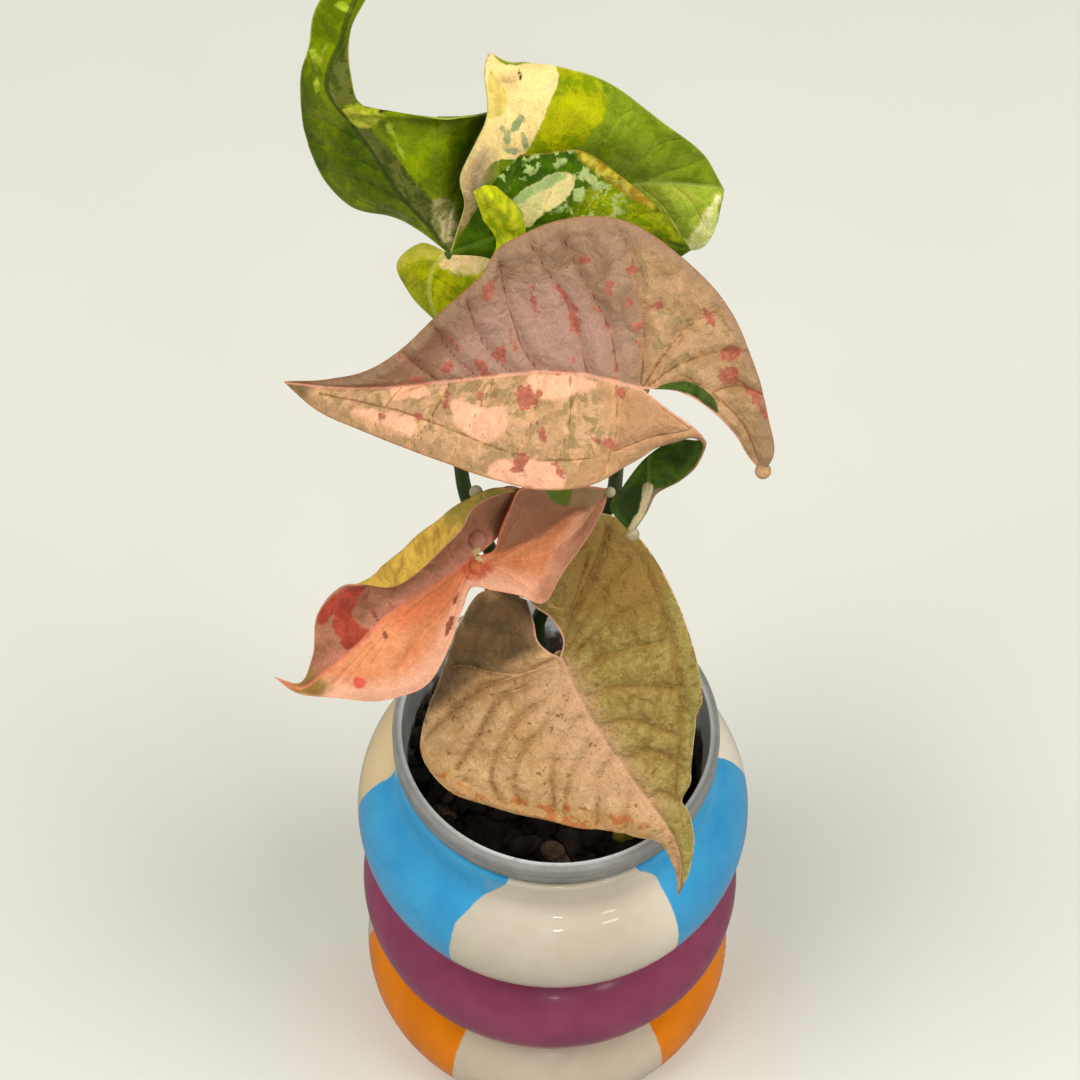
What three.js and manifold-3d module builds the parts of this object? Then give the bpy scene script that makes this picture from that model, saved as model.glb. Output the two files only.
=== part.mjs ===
// Potted syngonium. Four arrow-shaped leaves on long stalks rise from a short
// stem, which stands in bark mix inside a clear nursery cup. The cup sits in
// the mouth of a glazed pot that is shaped as three stacked rings.
// Millimetres, +Z up. The origin is the middle of the pot's flat foot.

import * as THREE from 'three';
import { mergeVertices } from 'three/addons/utils/BufferGeometryUtils.js';
import Module from 'manifold-3d';

const wasm = await Module();
wasm.setup();

// Glazed pot: each ring is half an ellipse turned round the axis
const BOTTOM_RING = { radius: 66.6, bulge: 23.0, halfHeight: 23.4 };
const MIDDLE_RING = { radius: 66.1, bulge: 24.9, halfHeight: 23.9 };
const TOP_RING = { radius: 65.7, bulge: 21.6, halfHeight: 25.0 };
const GROOVE_RADIUS = 50.5;
const POT_FLOOR = 8;
const POT_WALL = 6;
const POT_SIDES = 36;

// Collar that rises from the top ring; the cup's tapered neck stands in it
const SHOULDER_RADIUS = 57;
const COLLAR_RADIUS = 52.2;
const COLLAR_BEND = 142;
const COLLAR_FOOT = 147;
const POT_LIP = 156.2;
const LIP_ROUND = 1.6;

// Nursery cup: a tapered wall with a rolled rim
const CUP_TOP = 168;
const CUP_RIM_RADIUS = 52.5;
const CUP_RIM_HEIGHT = 9;
const CUP_RIM_ROUND = 1.4;
const CUP_WALL = 1.2;
const CUP_NECK_RADIUS = 50.4;
const CUP_FOOT_RADIUS = 39;
const CUP_FOOT = 60;
const CUP_SIDES = 36;
const DRAIN_HOLES = 6;
const DRAIN_RADIUS = 3.5;
const DRAIN_CIRCLE = 26;

// Bark mix and the stem that stands in it
const MIX_LEVEL = 142;
const BARK_CHIPS = 38;
const CHIP_SPREAD = 41;
const SMALL_CHIP = 3;
const LARGE_CHIP = 5.6;
const CHIP_LEAN = 0.35;
const CHIP_LIFT = 0.6;
const STEM_FOOT = new THREE.Vector3(-9, 14, 118);
const STEM_TOP = new THREE.Vector3(-13, 20, 190);
const STEM_RADIUS = 4.4;
const STEM_TOP_RADIUS = 3.6;
const STEM_NODE = 0.5;
const GAP = 0.3;

// Blades are thin sheets, and stalks taper towards the blade
const BLADE_THICKNESS = 0.8;
const STALK_BASE_RADIUS = 2.6;
const STALK_TOP_RADIUS = 1.6;

// The eye that the leaves were sighted from. A sighting is a column and a row
// in a square picture 1080 wide, with the height of the point above the table.
const EYE = new THREE.Vector3(-6.9, -369.6, 769.7);
const EYE_PITCH = THREE.MathUtils.degToRad(53.66);
const EYE_ROLL = THREE.MathUtils.degToRad(1.64);
const FOCAL_LENGTH = 2200;
const PICTURE_CENTRE = 540;

// Pink leaf: the blade lies towards the left, its near lobe curls under
const PINK_LEAF = {
  midrib: [
    [284, 382, 306], [330, 388, 311], [380, 388, 317], [417, 385, 321], [453, 381, 325],
    [508, 375, 330], [556, 372, 333], [600, 378, 335], [642, 389, 335],
  ],
  far: {
    sinus: [
      [676, 391, 334], [700, 402, 331], [722, 420, 326], [738, 438, 320], [748, 455, 315],
      [763, 473, 311],
    ],
    between: [[
      [284, 382, 306], [331, 384, 312], [378, 380, 319], [413, 368, 325], [450, 348, 332],
      [495, 325, 340], [530, 305, 345], [580, 300, 348], [635, 305, 349], [690, 325, 346],
      [726, 355, 340], [745, 392, 333], [756, 426, 325], [763, 454, 317], [763, 473, 311],
    ]],
    margin: [
      [284, 382, 306], [330, 379, 314], [370, 369, 322], [405, 346, 331], [440, 312, 342],
      [480, 276, 353], [502, 246, 360], [560, 220, 366], [622, 220, 366], [680, 256, 360],
      [730, 310, 350], [757, 372, 338], [768, 418, 327], [774, 452, 318], [763, 473, 311],
    ],
  },
  near: {
    sinus: [
      [668, 409, 333], [697, 430, 328], [699, 440, 317], [672, 441, 307], [645, 459, 302],
      [622, 488, 296], [610, 506, 291], [632, 534, 285],
    ],
    between: [[
      [284, 382, 306], [323, 399, 310], [366, 409, 315], [405, 416, 319], [446, 421, 322],
      [500, 428, 326], [550, 431, 328], [596, 431, 329], [634, 429, 330], [664, 431, 329],
      [694, 434, 327], [703, 443, 318], [688, 454, 310], [664, 468, 304], [647, 491, 298],
      [637, 511, 292], [632, 534, 285],
    ]],
    margin: [
      [284, 382, 306], [318, 411, 308], [360, 430, 312], [400, 446, 315], [440, 461, 317],
      [495, 480, 319], [545, 490, 320], [590, 485, 320], [622, 469, 322], [660, 446, 324],
      [690, 437, 325], [704, 446, 319], [697, 465, 312], [680, 481, 304], [657, 494, 297],
      [647, 513, 291], [632, 534, 285],
    ],
  },
};

// Curled leaf: the far half rolls over towards the viewer
const CURLED_LEAF = {
  midrib: [
    [274, 677, 244], [300, 688, 240], [326, 670, 244], [352, 650, 249], [389, 613, 257],
    [430, 586, 264], [455, 571, 268], [474, 557, 270],
  ],
  far: {
    sinus: [[486, 548, 272], [503, 530, 272], [528, 492, 277]],
    between: [
      [
        [274, 677, 244], [300, 686, 240.5], [321, 665, 246], [340, 638, 253], [372, 600, 262],
        [404, 572, 271], [432, 550, 275], [456, 530, 277], [478, 521, 277], [501, 509, 278],
        [528, 492, 277],
      ],
      [
        [274, 677, 244], [300, 684, 241], [317, 660, 248], [328, 625, 256], [352, 588, 268],
        [383, 567, 278], [425, 527, 286], [460, 503, 291], [486, 490, 292], [509, 486, 288],
        [528, 492, 277],
      ],
    ],
    margin: [
      [274, 677, 244], [301, 683, 241], [313, 655, 249], [317, 615, 259], [345, 585, 269],
      [396, 586, 276], [436, 556, 284], [460, 530, 290], [474, 508, 292], [498, 495, 290],
      [528, 492, 277],
    ],
  },
  near: {
    sinus: [
      [494, 551, 271], [500, 532, 276], [509, 510, 281], [520, 489, 286], [553, 488, 284],
      [585, 486, 280], [609, 489, 275],
    ],
    between: [[
      [274, 677, 244], [299, 690, 239.5], [332, 685, 240], [365, 676, 243], [407, 650, 248],
      [440, 616, 256], [460, 592, 263], [474, 573, 267], [496, 558, 265], [513, 551, 264],
      [530, 544, 264], [548, 532, 266], [568, 519, 269], [590, 508, 272], [609, 489, 275],
    ]],
    margin: [
      [274, 677, 244], [297, 693, 239], [337, 698, 238], [378, 700, 237], [425, 686, 239],
      [450, 646, 249], [461, 612, 258], [471, 588, 263], [493, 590, 262], [520, 596, 259],
      [543, 603, 256], [564, 571, 261], [584, 543, 266], [602, 512, 271], [609, 489, 275],
    ],
  },
};

// Olive leaf: a broad blade that hangs over the cup's rim at its tip
const OLIVE_LEAF = {
  midrib: [
    [678, 895, 164], [682, 873, 170], [677, 847, 178], [664, 823, 186], [645, 798, 192],
    [622, 766, 200], [602, 738, 207], [580, 700, 216], [560, 657, 225],
  ],
  far: {
    sinus: [[563, 640, 230], [551, 618, 235], [530, 599, 240], [597, 512, 262]],
    between: [[
      [678, 895, 164], [685, 873, 171.5], [686, 846, 179], [677, 818, 186.5], [668, 790, 194],
      [660, 752, 203.5], [654, 715, 213], [642, 682, 222], [626, 640, 231], [612, 606, 239],
      [598, 572, 247], [592, 540, 255], [597, 512, 262],
    ]],
    margin: [
      [678, 895, 164], [689, 872, 173], [694, 842, 180], [689, 810, 187], [690, 777, 196],
      [694, 735, 207], [702, 702, 216], [698, 668, 225], [686, 625, 235], [668, 582, 245],
      [643, 542, 254], [618, 518, 260], [597, 512, 262],
    ],
  },
  near: {
    sinus: [[549, 652, 226], [538, 641, 228], [534, 624, 230], [527, 600, 233]],
    between: [[
      [678, 895, 164], [679, 870, 170], [668, 842, 177.5], [648, 828, 183], [610, 812, 188],
      [565, 785, 194], [520, 755, 201], [492, 722, 208], [486, 685, 215], [490, 660, 220],
      [498, 637, 225], [508, 613, 231], [527, 600, 233],
    ]],
    margin: [
      [678, 895, 164], [676, 867, 169], [661, 836, 177], [630, 831, 180], [570, 825, 182],
      [510, 811, 184], [450, 790, 187], [421, 752, 194], [429, 708, 204], [443, 672, 212],
      [460, 625, 224], [484, 591, 235], [527, 600, 233],
    ],
  },
};

// Green leaf: lobes that all start at the top of one stalk
const GREEN_HUB = [450, 254, 350];
const GREEN_LOBES = {
  tall: {
    midrib: [
      GREEN_HUB, [428, 225, 355], [411, 207, 359], [395, 188, 363], [378, 160, 368],
      [357, 130, 374], [347, 117, 377], [337, 106, 380], [327, 88, 384], [331, 62, 388],
      [341, 42, 391], [346, 22, 395], [358, -6, 399], [374, -30, 401], [400, -58, 400],
    ],
    far: {
      sinus: [],
      between: [[
        GREEN_HUB, [448, 219, 357], [442, 195, 363], [436, 168, 370], [431, 142, 376],
        [420, 126, 380], [392, 117, 382], [358, 110, 382], [345, 95, 383], [342, 68, 386],
        [345, 46, 389], [349, 24, 394], [361, -3, 398], [378, -28, 400], [400, -58, 400],
      ]],
      margin: [
        GREEN_HUB, [474, 214, 354], [476, 183, 361], [484, 154, 368], [492, 131, 374],
        [498, 113, 379], [447, 119, 384], [390, 111, 384], [360, 104, 383], [351, 76, 385],
        [348, 50, 388], [351, 26, 393], [365, 0, 397], [382, -26, 400], [400, -58, 400],
      ],
    },
    near: {
      sinus: [],
      between: [[
        GREEN_HUB, [425, 229, 353], [400, 212, 355], [374, 198, 357], [350, 175, 361],
        [332, 143, 367], [326, 130, 370], [320, 116, 374], [314, 94, 380], [316, 68, 385],
        [324, 44, 389], [331, 20, 394], [343, -8, 399], [364, -34, 401], [400, -58, 400],
      ]],
      margin: [
        GREEN_HUB, [421, 231, 351], [388, 215, 350], [350, 206, 350], [325, 181, 354],
        [311, 150, 361], [307, 136, 365], [304, 122, 369], [302, 98, 376], [302, 70, 382],
        [309, 44, 388], [314, 15, 393], [328, -12, 398], [352, -36, 400], [400, -58, 400],
      ],
    },
  },
  right: {
    midrib: [
      GREEN_HUB, [485, 236, 352], [520, 216, 354], [555, 201, 355], [590, 192, 356],
      [620, 186, 356], [650, 183, 355], [680, 183, 353], [705, 186, 351], [724, 189, 349],
    ],
    far: {
      sinus: [],
      between: [[
        GREEN_HUB, [474, 219, 358], [488, 182, 368], [520, 143, 376], [546, 116, 381],
        [590, 120, 379], [628, 134, 373], [670, 152, 364], [703, 168, 356], [724, 189, 349],
      ]],
      margin: [
        GREEN_HUB, [464, 207, 364], [460, 176, 374], [486, 120, 384], [488, 58, 394],
        [553, 66, 388], [605, 81, 383], [661, 121, 373], [702, 153, 361], [724, 189, 349],
      ],
    },
    near: {
      sinus: [],
      between: [[
        GREEN_HUB, [486, 240, 351], [525, 226, 350], [562, 214, 349], [598, 208, 348],
        [630, 206, 347], [662, 210, 346], [693, 216, 345], [712, 210, 347], [724, 189, 349],
      ]],
      margin: [
        GREEN_HUB, [486, 245, 349], [528, 236, 346], [566, 230, 343], [602, 228, 341],
        [634, 232, 339], [664, 242, 337], [692, 250, 336], [706, 244, 338], [724, 189, 349],
      ],
    },
  },
  front: {
    midrib: [
      GREEN_HUB, [472, 246, 353], [500, 236, 356], [532, 228, 358], [566, 224, 359],
      [600, 226, 358], [635, 232, 356], [665, 242, 352], [691, 250, 349],
    ],
    far: {
      sinus: [],
      between: [[
        GREEN_HUB, [468, 222, 358], [488, 203, 363], [518, 190, 366], [555, 187, 367],
        [592, 188, 366], [628, 204, 362], [662, 229, 356], [691, 250, 349],
      ]],
      margin: [
        GREEN_HUB, [466, 208, 361], [478, 174, 368], [505, 158, 372], [545, 153, 374],
        [582, 151, 373], [622, 177, 368], [661, 211, 360], [691, 250, 349],
      ],
    },
    near: {
      sinus: [],
      between: [[
        GREEN_HUB, [474, 252, 351], [500, 250, 352], [530, 246, 353], [562, 246, 353],
        [595, 246, 352], [628, 248, 351], [662, 252, 349], [691, 250, 349],
      ]],
      margin: [
        GREEN_HUB, [476, 258, 348], [500, 264, 346], [530, 266, 345], [560, 268, 344],
        [592, 268, 343], [626, 268, 344], [662, 266, 345], [691, 250, 349],
      ],
    },
  },
  earlobe: {
    midrib: [
      GREEN_HUB, [438, 262, 348], [430, 278, 345], [430, 297, 341], [438, 323, 336],
    ],
    far: {
      sinus: [],
      between: [[
        GREEN_HUB, [462, 264, 348], [460, 282, 345], [449, 303, 340], [438, 323, 336],
      ]],
      margin: [
        GREEN_HUB, [494, 262, 350], [491, 286, 346], [468, 310, 340], [438, 323, 336],
      ],
    },
    near: {
      sinus: [],
      between: [[
        GREEN_HUB, [424, 256, 346], [415, 273, 343], [420, 293, 339], [438, 323, 336],
      ]],
      margin: [
        GREEN_HUB, [420, 244, 346], [397, 264, 341], [408, 290, 337], [438, 323, 336],
      ],
    },
  },
};

// Rolled ear of the green leaf: its two edges and the crown between them
const GREEN_ROLL = {
  edgeLeft: [[490, 262, 348], [488, 240, 353], [482, 214, 362], [477, 200, 367], [474, 191, 370]],
  crown: [[508, 256, 355], [514, 236, 359], [504, 212, 369], [492, 197, 374], [485, 186, 374]],
  edgeRight: [[528, 258, 349], [532, 236, 353], [518, 208, 364], [503, 193, 370], [496, 187, 371]],
};

// Stalks, from under each blade down to a place on the stem: the share of the
// stem's length, and the side that the stalk leans on, in degrees from +X
const GREEN_STALK = {
  top: [450, 255, 349], bends: [[454, 360, 318], [461, 468, 272], [467, 497, 260]],
};
const PINK_STALK = {
  top: [642, 389, 333.6], bends: [[625, 435, 300], [617, 467, 276], [611, 500, 258]],
  share: 0.86, side: 35,
};
const CURLED_STALK = {
  top: [474, 557, 268.6], bends: [[483, 572, 246], [495, 600, 219]],
  share: 0.74, side: 225,
};
const OLIVE_STALK = {
  top: [560, 657, 223.8], bends: [[556, 668, 208], [543, 681, 187]],
  share: 0.62, side: -80,
};

// Rounded ends of the lobes and small swellings of the blades, with a radius
const PINK_KNOBS = [[763, 471, 311.6, 2.2], [633, 534, 285, 1.8], [642, 389, 333.3, 2]];
const CURLED_KNOBS = [
  [610, 492, 274.6, 1.6], [477, 539, 273.2, 3], [476, 492, 289, 1.9], [475, 567, 267.6, 2.4],
];
const OLIVE_KNOBS = [[560, 657, 223.2, 2]];

function sight([column, row, height]) {
  const forward = new THREE.Vector3(0, Math.cos(EYE_PITCH), -Math.sin(EYE_PITCH));
  const level = new THREE.Vector3(1, 0, 0);
  const upright = new THREE.Vector3().crossVectors(level, forward);
  const right = level.clone().multiplyScalar(Math.cos(EYE_ROLL))
    .addScaledVector(upright, Math.sin(EYE_ROLL));
  const up = upright.clone().multiplyScalar(Math.cos(EYE_ROLL))
    .addScaledVector(level, -Math.sin(EYE_ROLL));
  const ray = forward.clone()
    .addScaledVector(right, (column - PICTURE_CENTRE) / FOCAL_LENGTH)
    .addScaledVector(up, (PICTURE_CENTRE - row) / FOCAL_LENGTH);
  return EYE.clone().addScaledVector(ray, (height - EYE.z) / ray.z);
}

// Point on a smooth curve through the points, at a place counted in points
function alongCurve(points, place) {
  const curve = new THREE.CatmullRomCurve3(points, false, 'centripetal');
  return curve.getPoint(place / (points.length - 1));
}

// One half of a blade as a grid of points, from the midrib out to the margin
function halfGrid(midrib, half, stepsAlong, stepsAcross) {
  const rib = midrib.map(sight);
  const junction = rib.length - 1;
  const sinus = [rib[junction], ...half.sinus.map(sight)];
  const outer = [...half.between, half.margin].map((line) => line.map(sight));
  const rows = half.margin.length - 1;
  const grid = [];
  for (let step = 0; step <= rows * stepsAlong; step += 1) {
    const place = step / stepsAlong;
    const inner = place <= junction
      ? alongCurve(rib, place)
      : alongCurve(sinus, place - junction);
    const across = [inner, ...outer.map((line) => alongCurve(line, place))];
    const row = [];
    for (let side = 0; side <= (across.length - 1) * stepsAcross; side += 1) {
      row.push(alongCurve(across, side / stepsAcross));
    }
    grid.push(row);
  }
  return grid;
}

// Welded points and triangles of the grids, with the upper face to the viewer
function weldGrids(grids) {
  const points = [];
  const known = new Map();
  const faces = [];
  const numberOf = (point) => {
    const key = point.toArray().map((value) => value.toFixed(3)).join(' ');
    if (!known.has(key)) {
      known.set(key, points.length);
      points.push(point);
    }
    return known.get(key);
  };
  for (const grid of grids) {
    const numbers = grid.map((row) => row.map(numberOf));
    const own = [];
    for (let i = 0; i + 1 < grid.length; i += 1) {
      for (let j = 0; j + 1 < grid[i].length; j += 1) {
        const corners = [numbers[i][j], numbers[i + 1][j], numbers[i + 1][j + 1], numbers[i][j + 1]];
        own.push([corners[0], corners[1], corners[2]], [corners[0], corners[2], corners[3]]);
      }
    }
    const real = own.filter(([a, b, c]) => a !== b && b !== c && c !== a);
    let facing = 0;
    for (const face of real) {
      facing += faceNormal(points, face).dot(EYE.clone().sub(points[face[0]]));
    }
    faces.push(...(facing > 0 ? real : real.map(([a, b, c]) => [a, c, b])));
  }
  return { points, faces };
}

function faceNormal(points, [a, b, c]) {
  const first = points[b].clone().sub(points[a]);
  const second = points[c].clone().sub(points[a]);
  return first.cross(second);
}

// Closed solid of even thickness around a sheet of triangles
function thicken({ points, faces }, thickness) {
  const normals = points.map(() => new THREE.Vector3());
  const edges = new Map();
  for (const face of faces) {
    const normal = faceNormal(points, face);
    for (let k = 0; k < 3; k += 1) {
      normals[face[k]].add(normal);
      edges.set(`${face[k]} ${face[(k + 1) % 3]}`, [face[k], face[(k + 1) % 3]]);
    }
  }
  const upper = points.map((point, n) => point.clone()
    .addScaledVector(normals[n].clone().normalize(), thickness / 2));
  const lower = points.map((point, n) => point.clone()
    .addScaledVector(normals[n].clone().normalize(), -thickness / 2));
  const count = points.length;
  const triangles = [];
  for (const [a, b, c] of faces) {
    triangles.push([a, b, c], [a + count, c + count, b + count]);
  }
  for (const [a, b] of edges.values()) {
    if (!edges.has(`${b} ${a}`)) {
      triangles.push([b, a, a + count], [b, a + count, b + count]);
    }
  }
  return solidFrom([...upper, ...lower], triangles);
}

function solidFrom(points, triangles) {
  const vertProperties = new Float32Array(points.flatMap((point) => point.toArray()));
  const triVerts = new Uint32Array(triangles.flat());
  return new wasm.Manifold(new wasm.Mesh({ numProp: 3, vertProperties, triVerts }));
}

// Solid from one of the library's closed geometries
function solidOf(geometry) {
  const bare = geometry.clone();
  bare.deleteAttribute('normal');
  bare.deleteAttribute('uv');
  const merged = mergeVertices(bare, 1e-4);
  const place = merged.getAttribute('position');
  const points = [];
  for (let n = 0; n < place.count; n += 1) {
    points.push(new THREE.Vector3().fromBufferAttribute(place, n));
  }
  const triangles = [];
  for (let n = 0; n < merged.index.count; n += 3) {
    const face = [0, 1, 2].map((k) => merged.index.getX(n + k));
    if (new Set(face).size === 3) {
      triangles.push(face);
    }
  }
  const volume = triangles.reduce((sum, [a, b, c]) => sum
    + points[a].dot(points[b].clone().cross(points[c])), 0);
  return solidFrom(points, volume > 0 ? triangles : triangles.map(([a, b, c]) => [a, c, b]));
}

function bladeSolid(leaf, stepsAlong = 2, stepsAcross = 2) {
  const grids = [leaf.far, leaf.near]
    .map((half) => halfGrid(leaf.midrib, half, stepsAlong, stepsAcross));
  return thicken(weldGrids(grids), BLADE_THICKNESS);
}

// Tapered round bar along a smooth path, closed at both ends
function taperedBar(path, radiusAt, steps, sides) {
  const curve = new THREE.CatmullRomCurve3(path, false, 'centripetal');
  const frames = curve.computeFrenetFrames(steps, false);
  const points = [];
  for (let step = 0; step <= steps; step += 1) {
    const centre = curve.getPointAt(step / steps);
    const radius = radiusAt(step / steps);
    for (let side = 0; side < sides; side += 1) {
      const angle = (2 * Math.PI * side) / sides;
      points.push(centre.clone()
        .addScaledVector(frames.normals[step], radius * Math.cos(angle))
        .addScaledVector(frames.binormals[step], radius * Math.sin(angle)));
    }
  }
  const triangles = [];
  for (let step = 0; step < steps; step += 1) {
    for (let side = 0; side < sides; side += 1) {
      const a = step * sides + side;
      const b = step * sides + ((side + 1) % sides);
      triangles.push([a, b, b + sides], [a, b + sides, a + sides]);
    }
  }
  const last = steps * sides;
  for (let side = 1; side + 1 < sides; side += 1) {
    triangles.push([0, side + 1, side], [last, last + side, last + side + 1]);
  }
  return solidFrom(points, triangles);
}

// Round swelling, such as the one where a stalk meets its blade
function swelling(centre, radius) {
  const ball = new THREE.IcosahedronGeometry(radius, 1);
  ball.translate(centre.x, centre.y, centre.z);
  return solidOf(ball);
}

function stemRadius(share) {
  const node = Math.cos(2 * Math.PI * 4 * share) ** 8;
  return THREE.MathUtils.lerp(STEM_RADIUS, STEM_TOP_RADIUS, share) + STEM_NODE * node;
}

function stemPoint(share) {
  return STEM_FOOT.clone().lerp(STEM_TOP, share);
}

// The last two points of a stalk's path, side by side with the stem
function stalkFoot({ share, side }) {
  const along = STEM_TOP.clone().sub(STEM_FOOT).normalize();
  if (share === undefined) {
    const foot = STEM_TOP.clone().addScaledVector(along, GAP);
    return [foot.clone().addScaledVector(along, STALK_BASE_RADIUS * 4), foot];
  }
  const angle = THREE.MathUtils.degToRad(side);
  const away = new THREE.Vector3(Math.cos(angle), Math.sin(angle), 0);
  const reach = STEM_RADIUS + STALK_BASE_RADIUS + GAP;
  const foot = stemPoint(share).addScaledVector(away, reach);
  const above = foot.clone().addScaledVector(along, STALK_BASE_RADIUS * 4).addScaledVector(away, GAP);
  return [above, foot];
}

function stalkSolid(stalk) {
  const path = [sight(stalk.top), ...stalk.bends.map(sight), ...stalkFoot(stalk)];
  const radiusAt = (share) => THREE.MathUtils.lerp(STALK_TOP_RADIUS, STALK_BASE_RADIUS, share);
  return taperedBar(path, radiusAt, 18, 8);
}

function knobs(list) {
  return list.map(([column, row, height, radius]) => swelling(sight([column, row, height]), radius));
}

function join(solids) {
  return solids.reduce((whole, solid) => whole.add(solid));
}

// Points of radius and height along a ring's arc, between two angles
function ringArc(ring, middle, from, to, steps) {
  const points = [];
  for (let step = 0; step <= steps; step += 1) {
    const angle = THREE.MathUtils.lerp(from, to, step / steps);
    points.push(new THREE.Vector2(
      ring.radius - ring.bulge * (1 - Math.cos(angle)),
      middle + ring.halfHeight * Math.sin(angle),
    ));
  }
  return points;
}

// Angle on a ring's arc at which the arc comes in to a radius
function arcAngle(ring, radius) {
  return Math.acos(1 - (ring.radius - radius) / ring.bulge);
}

function cupRadius(height) {
  const share = (height - CUP_FOOT) / (CUP_TOP - CUP_RIM_HEIGHT - CUP_FOOT);
  return THREE.MathUtils.lerp(CUP_FOOT_RADIUS, CUP_NECK_RADIUS, Math.min(share, 1));
}

// Angle on a ring's arc at which the arc comes to a height above its middle
function heightAngle(ring, height) {
  return Math.asin(height / ring.halfHeight);
}

// Hollow sweep from the top ring's shoulder up to the collar
function collarSweep(shoulder) {
  const sweep = new THREE.QuadraticBezierCurve(
    shoulder,
    new THREE.Vector2(COLLAR_RADIUS, COLLAR_BEND),
    new THREE.Vector2(COLLAR_RADIUS, COLLAR_FOOT),
  );
  return sweep.getPoints(3);
}

function glazedPot() {
  const bottomMiddle = BOTTOM_RING.halfHeight;
  const middleMiddle = bottomMiddle + BOTTOM_RING.halfHeight + MIDDLE_RING.halfHeight;
  const topMiddle = middleMiddle + MIDDLE_RING.halfHeight + TOP_RING.halfHeight;
  const mouth = cupRadius(POT_LIP) + GAP;
  const bottomAngle = arcAngle(BOTTOM_RING, GROOVE_RADIUS);
  const middleAngle = arcAngle(MIDDLE_RING, GROOVE_RADIUS);
  const topAngle = arcAngle(TOP_RING, GROOVE_RADIUS);
  const shoulderAngle = arcAngle(TOP_RING, SHOULDER_RADIUS);
  const neckAngle = arcAngle(TOP_RING, mouth + POT_WALL + 1);
  const floorAngle = heightAngle(BOTTOM_RING, POT_FLOOR - bottomMiddle);
  const topRing = ringArc(TOP_RING, topMiddle, -topAngle, shoulderAngle, 7);
  const inside = [
    ...ringArc(TOP_RING, topMiddle, neckAngle, -topAngle, 5),
    ...ringArc(MIDDLE_RING, middleMiddle, middleAngle, -middleAngle, 5),
    ...ringArc(BOTTOM_RING, bottomMiddle, bottomAngle, floorAngle, 4),
  ];
  const profile = [
    new THREE.Vector2(0, 0),
    ...ringArc(BOTTOM_RING, bottomMiddle, -Math.PI / 2, bottomAngle, 9),
    ...ringArc(MIDDLE_RING, middleMiddle, -middleAngle, middleAngle, 8),
    ...topRing.slice(0, -1),
    ...collarSweep(topRing.at(-1)),
    new THREE.Vector2(COLLAR_RADIUS, POT_LIP - LIP_ROUND),
    new THREE.Vector2(COLLAR_RADIUS - LIP_ROUND / 4, POT_LIP - LIP_ROUND / 4),
    new THREE.Vector2(COLLAR_RADIUS - LIP_ROUND * 0.7, POT_LIP),
    new THREE.Vector2(mouth, POT_LIP - LIP_ROUND / 4),
    new THREE.Vector2(mouth, COLLAR_BEND),
    ...inside.map((point) => new THREE.Vector2(point.x - POT_WALL, point.y)),
    new THREE.Vector2(0, POT_FLOOR),
  ];
  return solidOf(latheUp(profile, POT_SIDES));
}

// Profile of radius and height turned round the upright axis
function latheUp(profile, sides) {
  const lathe = new THREE.LatheGeometry(profile, sides);
  lathe.rotateX(Math.PI / 2);
  return lathe;
}

function nurseryCup() {
  const neck = CUP_TOP - CUP_RIM_HEIGHT;
  const inside = CUP_NECK_RADIUS - CUP_WALL;
  const profile = [
    new THREE.Vector2(0, CUP_FOOT),
    new THREE.Vector2(CUP_FOOT_RADIUS, CUP_FOOT),
    new THREE.Vector2(cupRadius(neck), neck),
    new THREE.Vector2(CUP_RIM_RADIUS - CUP_RIM_ROUND / 2, neck),
    new THREE.Vector2(CUP_RIM_RADIUS, neck + CUP_RIM_ROUND),
    new THREE.Vector2(CUP_RIM_RADIUS, CUP_TOP - CUP_RIM_ROUND),
    new THREE.Vector2(CUP_RIM_RADIUS - CUP_RIM_ROUND / 2, CUP_TOP - CUP_RIM_ROUND / 5),
    new THREE.Vector2(CUP_RIM_RADIUS - CUP_RIM_ROUND, CUP_TOP),
    new THREE.Vector2(inside + CUP_RIM_ROUND / 3, CUP_TOP - CUP_RIM_ROUND / 4),
    new THREE.Vector2(inside, CUP_TOP - CUP_RIM_ROUND),
    new THREE.Vector2(inside, neck),
    new THREE.Vector2(CUP_FOOT_RADIUS - CUP_WALL, CUP_FOOT + CUP_WALL),
    new THREE.Vector2(0, CUP_FOOT + CUP_WALL),
  ];
  let cup = solidOf(latheUp(profile, CUP_SIDES));
  for (let hole = 0; hole < DRAIN_HOLES; hole += 1) {
    const angle = (2 * Math.PI * hole) / DRAIN_HOLES;
    const drill = new THREE.CylinderGeometry(DRAIN_RADIUS, DRAIN_RADIUS, 3 * CUP_WALL, 10);
    drill.rotateX(Math.PI / 2);
    drill.translate(DRAIN_CIRCLE * Math.cos(angle), DRAIN_CIRCLE * Math.sin(angle), CUP_FOOT);
    cup = cup.subtract(solidOf(drill));
  }
  return cup;
}

// Steady random numbers from 0 to 1
function seededRandom(seed) {
  let state = seed;
  return () => {
    state = (state * 16807) % 2147483647;
    return state / 2147483647;
  };
}

function mixSurface(radius, angle) {
  return MIX_LEVEL
    + 1.1 * Math.sin(0.31 * radius * Math.cos(angle) + 1.2)
    + 0.9 * Math.sin(0.37 * radius * Math.sin(angle) + 0.4)
    + 0.6 * Math.sin(0.9 * radius + 5 * angle);
}

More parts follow.
